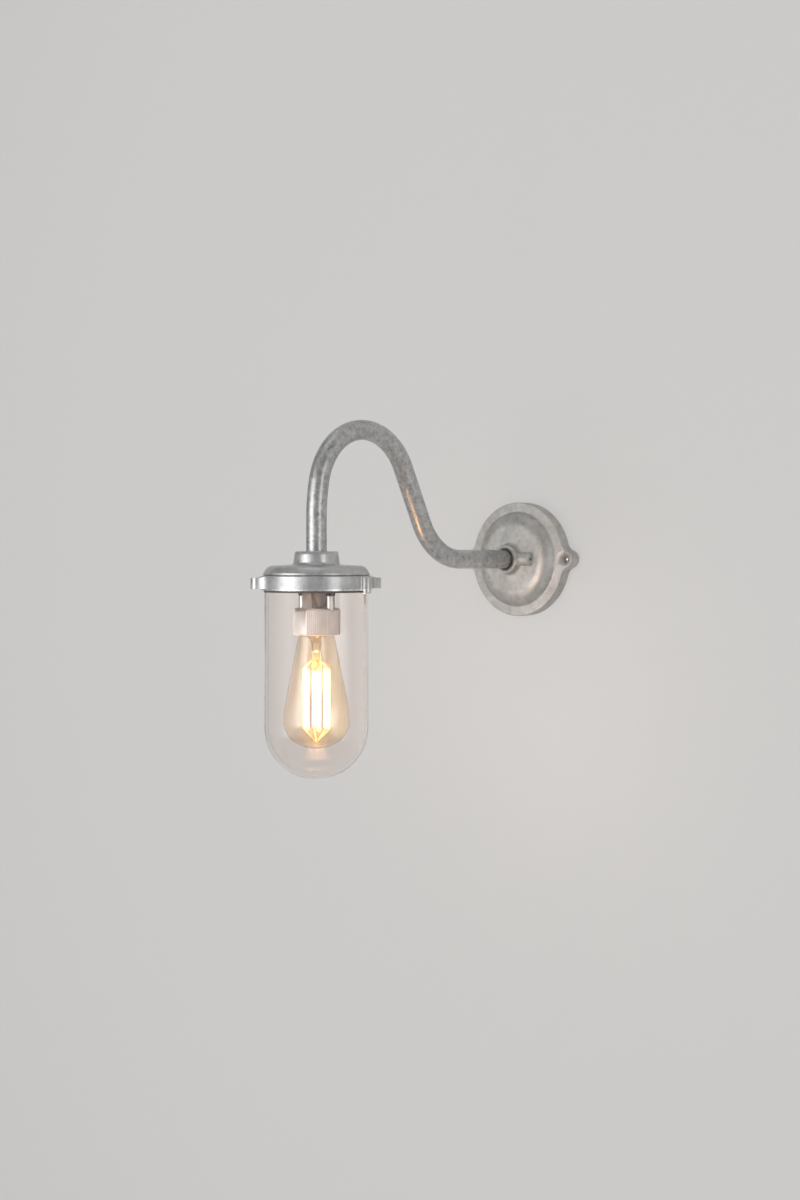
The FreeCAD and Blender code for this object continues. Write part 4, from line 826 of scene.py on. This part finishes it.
def wall_screws_tree(material):
    """One slotted screw on every point of the carrier, its head towards -Y."""
    tree, given, output = new_tree("wall_screws", [
        ("Head Radius", 0.0034), ("Head Height", 0.0024), ("Shank Radius", 0.0024), ("Seat Depth", 0.0076)])
    sizes = given.outputs
    ball = node(tree, "GeometryNodeMeshUVSphere", Segments=32, Rings=16, Radius=sizes["Head Radius"])
    flat = sums(tree, "DIVIDE", sizes["Head Height"], sizes["Head Radius"])
    squash = node(tree, "ShaderNodeCombineXYZ", X=1.0, Y=1.0, Z=flat)
    seat = node(tree, "ShaderNodeCombineXYZ", Z=sizes["Seat Depth"])
    head = node(tree, "GeometryNodeTransform", Geometry=ball.outputs["Mesh"], Translation=seat.outputs[0],
                Scale=squash.outputs[0])
    shank = node(tree, "GeometryNodeMeshCylinder", Vertices=24, Radius=sizes["Shank Radius"],
                 Depth=sizes["Seat Depth"])
    half = node(tree, "ShaderNodeCombineXYZ", Z=sums(tree, "MULTIPLY", sizes["Seat Depth"], 0.5))
    raised = node(tree, "GeometryNodeTransform", Geometry=shank.outputs["Mesh"],
                  Translation=half.outputs[0])
    width = sums(tree, "MULTIPLY", sizes["Head Radius"], 3.0)
    slot_size = node(tree, "ShaderNodeCombineXYZ", X=width, Y=SLOT_WIDTH, Z=sizes["Head Height"])
    bar = node(tree, "GeometryNodeMeshCube", Size=slot_size.outputs[0])
    above = sums(tree, "ADD", sizes["Seat Depth"], sizes["Head Height"])
    bar_place = node(tree, "ShaderNodeCombineXYZ", Z=above)
    cutter = node(tree, "GeometryNodeTransform", Geometry=bar.outputs["Mesh"],
                  Translation=bar_place.outputs[0])
    slotted = tree.nodes.new("GeometryNodeMeshBoolean")
    slotted.operation = "DIFFERENCE"
    tree.links.new(head.outputs[0], slotted.inputs["Mesh 1"])
    tree.links.new(cutter.outputs[0], slotted.inputs["Mesh 2"])
    screw = tree.nodes.new("GeometryNodeJoinGeometry")
    tree.links.new(slotted.outputs["Mesh"], screw.inputs[0])
    tree.links.new(raised.outputs[0], screw.inputs[0])
    number = tree.nodes.new("GeometryNodeInputIndex")
    twist = sums(tree, "ADD", sums(tree, "MULTIPLY", number.outputs[0], TWIST_STEP), FIRST_TWIST)
    aim = node(tree, "ShaderNodeCombineXYZ", X=math.radians(90.0), Y=twist)
    placed = node(tree, "GeometryNodeInstanceOnPoints", Points=given.outputs["Carrier"],
                  Instance=screw.outputs[0], Rotation=aim.outputs[0])
    finish_tree(tree, output, placed.outputs[0], material)
    return tree


print("a tree for slotted screws is ready")

# %% Two screws in the lugs
LUG_X = 0.065
screws = grown("wall_screws", wall_screws_tree(PLATED), {
    "Head Radius": 0.0034, "Head Height": 0.0024, "Shank Radius": 0.0024, "Seat Depth": 0.0078},
    [(-LUG_X, 0.0, 0.0), (LUG_X, 0.0, 0.0)])
dress(screws, PLATED, "fixture", "plated_steel")

# %% [markdown]
# ## Pieces that keep the CAD shape
# The castings and the holder already have the right shape. Their CAD mesh is a pile of loose triangles,
# though, so for the pieces whose rounded edges catch the light a copy is welded and shaded smoothly up to
# a set angle.

# %% Welded, smoothly shaded copies
def welded(node_name, name, degrees=32.0):
    """A copy of a CAD node's mesh with its loose triangles welded and its curves smooth."""
    work = bmesh.new()
    work.from_mesh(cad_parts[node_name].data)
    bmesh.ops.remove_doubles(work, verts=work.verts, dist=1e-6)
    mesh = bpy.data.meshes.new(name)
    work.to_mesh(mesh)
    work.free()
    smooth_by_angle(mesh, degrees)
    return in_scene(name, mesh)


for node_name, name, material, body, slot_name in (
        ("wall_rose", "rose_casting", ROSE_ZINC, "fixture", "galvanised_casting"),
        ("gallery", "gallery_casting", CAP_ZINC, "fixture", "galvanised_casting"),
        ("clamp_ring", "ring_plate", RING_ZINC, "glass", "galvanised_casting"),
        ("lampholder_body", "holder_porcelain", PORCELAIN, "fixture", "porcelain")):
    dress(welded(node_name, name), material, body, slot_name, node_name)

# %% [markdown]
# ## Pieces that only take a finish
# The rest of the CAD nodes are small, hidden or plain, and their meshes are good as they are. Each simply
# gets its material in place of the grey one that it came with.

# %% New finishes for the other CAD nodes
FINISHES = {
    PLATED: ["rose_locknut", "terminal_screws", "terminal_block_screw", "arm_set_screw", "gallery_locknut",
             "clamp_screw_right", "clamp_screw_left", "bulb_contact"],
    DULL_STEEL: ["holder_pillars", "holder_screws"],
    BRASS: ["rose_earth_screw", "gallery_earth_screw", "holder_centre_contact", "holder_terminals"],
    RUBBER: ["rose_gasket", "gallery_seal", "pillar_bushes"],
    GREY_RUBBER: ["glass_gasket"],
    WHITE_PLASTIC: ["terminal_block"], SHEATH: ["arm_flex"], BROWN: ["live_core"], BLUE: ["neutral_core"],
    EARTH: ["earth_core"], BLACK_GLASS: ["bulb_insulator"], BOARD: ["bulb_driver"],
}
for material, node_names in FINISHES.items():
    for node_name in node_names:
        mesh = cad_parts[node_name].data
        mesh.materials.clear()
        mesh.materials.append(material)
print(sum(len(names) for names in FINISHES.values()), "CAD nodes kept, with new finishes")

# %% [markdown]
# ## The wall and the floor
# The sconce hangs on a plain pale wall. In the photograph the wall is an even light grey, so part of its
# brightness is fixed for what the camera, reflections and glass see, and the rest is lit, which keeps the
# soft shadow. Seen from behind, the wall lets the view through, so that the back of the rose can be looked
# at.

# %% A paint that is partly lit and partly fixed
def seen_rays(tree):
    """1 for what the camera, a reflection or a glass sees, and 0 for the light that falls on things."""
    rays = tree.nodes.new("ShaderNodeLightPath")
    bent = sums(tree, "MAXIMUM", rays.outputs["Is Glossy Ray"], rays.outputs["Is Transmission Ray"])
    return sums(tree, "MAXIMUM", rays.outputs["Is Camera Ray"], bent)


def mixed_shaders(tree, share, first, second):
    """Two shaders mixed by a value."""
    mix = node(tree, "ShaderNodeMixShader", Fac=share)
    tree.links.new(first, mix.inputs[1])
    tree.links.new(second, mix.inputs[2])
    return mix.outputs[0]


def backdrop_finish(name, colour, fixed):
    """Matt paint. A share of its brightness is the same whatever the light, and its back is clear."""
    material = bpy.data.materials.new(name)
    material.use_nodes = True
    tree = material.node_tree
    tree.nodes.clear()
    output = tree.nodes.new("ShaderNodeOutputMaterial")
    paint = node(tree, "ShaderNodeBsdfDiffuse", Color=(*colour, 1.0))
    shine = node(tree, "ShaderNodeEmission", Color=(*colour, 1.0), Strength=1.0)
    share = sums(tree, "MULTIPLY", seen_rays(tree), fixed)
    lit = mixed_shaders(tree, share, paint.outputs[0], shine.outputs[0])
    clear = tree.nodes.new("ShaderNodeBsdfTransparent")
    side = tree.nodes.new("ShaderNodeNewGeometry")
    shown = mixed_shaders(tree, side.outputs["Backfacing"], lit, clear.outputs[0])
    tree.links.new(shown, output.inputs["Surface"])
    return material


print("helpers ready: seen_rays, mixed_shaders, backdrop_finish")

# %% The wall and the floor
def backdrop(name, corners, material):
    """A plain rectangle that is scenery and no part of the light."""
    mesh = bpy.data.meshes.new(name)
    mesh.from_pydata(corners, [], [(0, 1, 2, 3)])
    mesh.materials.append(material)
    in_scene(name, mesh)
    print(name, "set up")


PALE = (0.668, 0.66, 0.65)
WALL_Y = 0.0004
FLOOR_Z = -1.35
WIDE, HIGH, DEEP = 6.0, 6.0, -7.0
pale_paint = backdrop_finish("pale_paint", PALE, 0.6)
backdrop("wall_backdrop", [(-WIDE, WALL_Y, FLOOR_Z), (WIDE, WALL_Y, FLOOR_Z), (WIDE, WALL_Y, HIGH),
                           (-WIDE, WALL_Y, HIGH)], pale_paint)
backdrop("floor_backdrop", [(-WIDE, DEEP, FLOOR_Z), (WIDE, DEEP, FLOOR_Z), (WIDE, WALL_Y, FLOOR_Z),
                            (-WIDE, WALL_Y, FLOOR_Z)], pale_paint)

# %% [markdown]
# ## Light
# One wide soft box stands in front of the lamp and a little to the left, and draws the upright bands in
# the glass, the tube and the cap. A narrower one, far to the right, lights the right-hand edges. A real
# soft box is brightest in its middle, and a reflection shows that, so each of these two is four boxes of
# growing width on one spot. A small one hangs above. The last fills the side that the camera sees, and is
# kept out of reflections, where it would add a false band. Light should reach the porcelain and the
# filaments through the glass, but a lamp's shadow rays stop at glass, so the glass pieces and the
# filaments are left out of what casts the lamps' shadows.

# %% A lamp that shines through the glass
clear_pieces = bpy.data.collections.new("clear_pieces")
for piece in (well_glass, envelope, stem, filaments):
    clear_pieces.objects.link(piece)
for item in clear_pieces.collection_objects:
    item.light_linking.link_state = "EXCLUDE"


def add_lamp(name, data, place):
    """A lamp that the camera doesn't see and that shines through the glass pieces."""
    lamp = in_scene(name, data)
    lamp.location = place
    lamp.visible_camera = False
    lamp.light_linking.blocker_collection = clear_pieces
    return lamp


# %% Soft boxes
LAMP_MIDDLE = (0.0, LAMP_Y, -0.05)
# each nested box's share of the width, and its share of the brightness
NESTED = ((0.2, 0.4), (0.45, 0.25), (0.7, 0.2), (1.0, 0.15))


def soft_box(name, place, size, brightness):
    """A soft box of this width and height, aimed at the lamp. brightness is what a mirror would show."""
    data = bpy.data.lights.new(name, "AREA")
    data.shape = "RECTANGLE"
    data.size, data.size_y = size
    data.energy = brightness * math.pi * size[0] * size[1]
    lamp = add_lamp(name, data, place)
    lamp.rotation_mode = "QUATERNION"
    lamp.rotation_quaternion = (Vector(LAMP_MIDDLE) - Vector(place)).to_track_quat("-Z", "Y")
    print(name, round(data.energy, 1), "W")
    return lamp


def round_the_lamp(azimuth, distance, height):
    """A place at this azimuth, in degrees from +X, and distance from the lamp's axis."""
    turn = math.radians(azimuth)
    return (distance * math.cos(turn), LAMP_Y + distance * math.sin(turn), height)


def nested_boxes(name, place, size, brightness):
    """A soft box that fades towards its sides: boxes of growing width on one spot."""
    for number, (width, part) in enumerate(NESTED):
        nested_size = (size[0] * width, size[1] * (0.7 + 0.3 * width))
        soft_box(name + "_" + str(number), place, nested_size, brightness * part)


nested_boxes("key_box", round_the_lamp(257.0, 2.0, 0.05), (2.6, 1.7), 3.3)
nested_boxes("side_box", round_the_lamp(352.0, 2.0, 0.2), (0.9, 1.5), 2.8)
soft_box("top_box", (0.0, -0.7, 1.7), (1.2, 0.8), 0.6)
fill_box = soft_box("fill_box", round_the_lamp(315.0, 2.4, -0.25), (2.0, 1.2), 0.6)
fill_box.visible_glossy = False

# %% [markdown]
# ## The pale room
# The rest of the white studio is a world light. It fills the shadows, and the zinc and the glass reflect
# it. A bright room all round would make metal look like paper, so the room is dim. The camera, and what
# shows through the glass, see the wall's own pale grey instead, past the edges of the wall and the floor.

# %% A dim room that shows as the wall's grey
world = bpy.data.worlds.new("pale_room")
bpy.context.scene.world = world
world.use_nodes = True
room = world.node_tree
ROOM_STRENGTH = 0.38
backdrop_light = room.nodes["Background"]
backdrop_light.inputs["Color"].default_value = (*PALE, 1.0)
room_light = node(room, "ShaderNodeBackground", Color=(1.0, 0.99, 0.98, 1.0), Strength=ROOM_STRENGTH)
rays = room.nodes.new("ShaderNodeLightPath")
shown = sums(room, "MAXIMUM", rays.outputs["Is Camera Ray"], rays.outputs["Is Transmission Ray"])
choice = mixed_shaders(room, shown, room_light.outputs[0], backdrop_light.outputs[0])
room.links.new(choice, room.nodes["World Output"].inputs["Surface"])
print("the room lights at", ROOM_STRENGTH, "and shows as", PALE)

# %% [markdown]
# ## The bulb's own light
# The filaments shine by emission, but so little of it finds its way out of two glasses that a small warm
# lamp in the bulb does the work: it lights the porcelain from below, warms the rose and the wall, and
# draws the orange streak along the arm. It can't be seen through the glass, because the filaments are
# there to be seen.

# %% A warm lamp in the bulb
glow = bpy.data.lights.new("bulb_glow", "POINT")
glow.energy = 0.3
glow.color = (1.0, 0.52, 0.22)
glow.shadow_soft_size = 0.012
glow_lamp = add_lamp("bulb_glow", glow, (0.0, LAMP_Y, -0.13))
glow_lamp.visible_transmission = False
print("bulb_glow", glow.energy, "W")
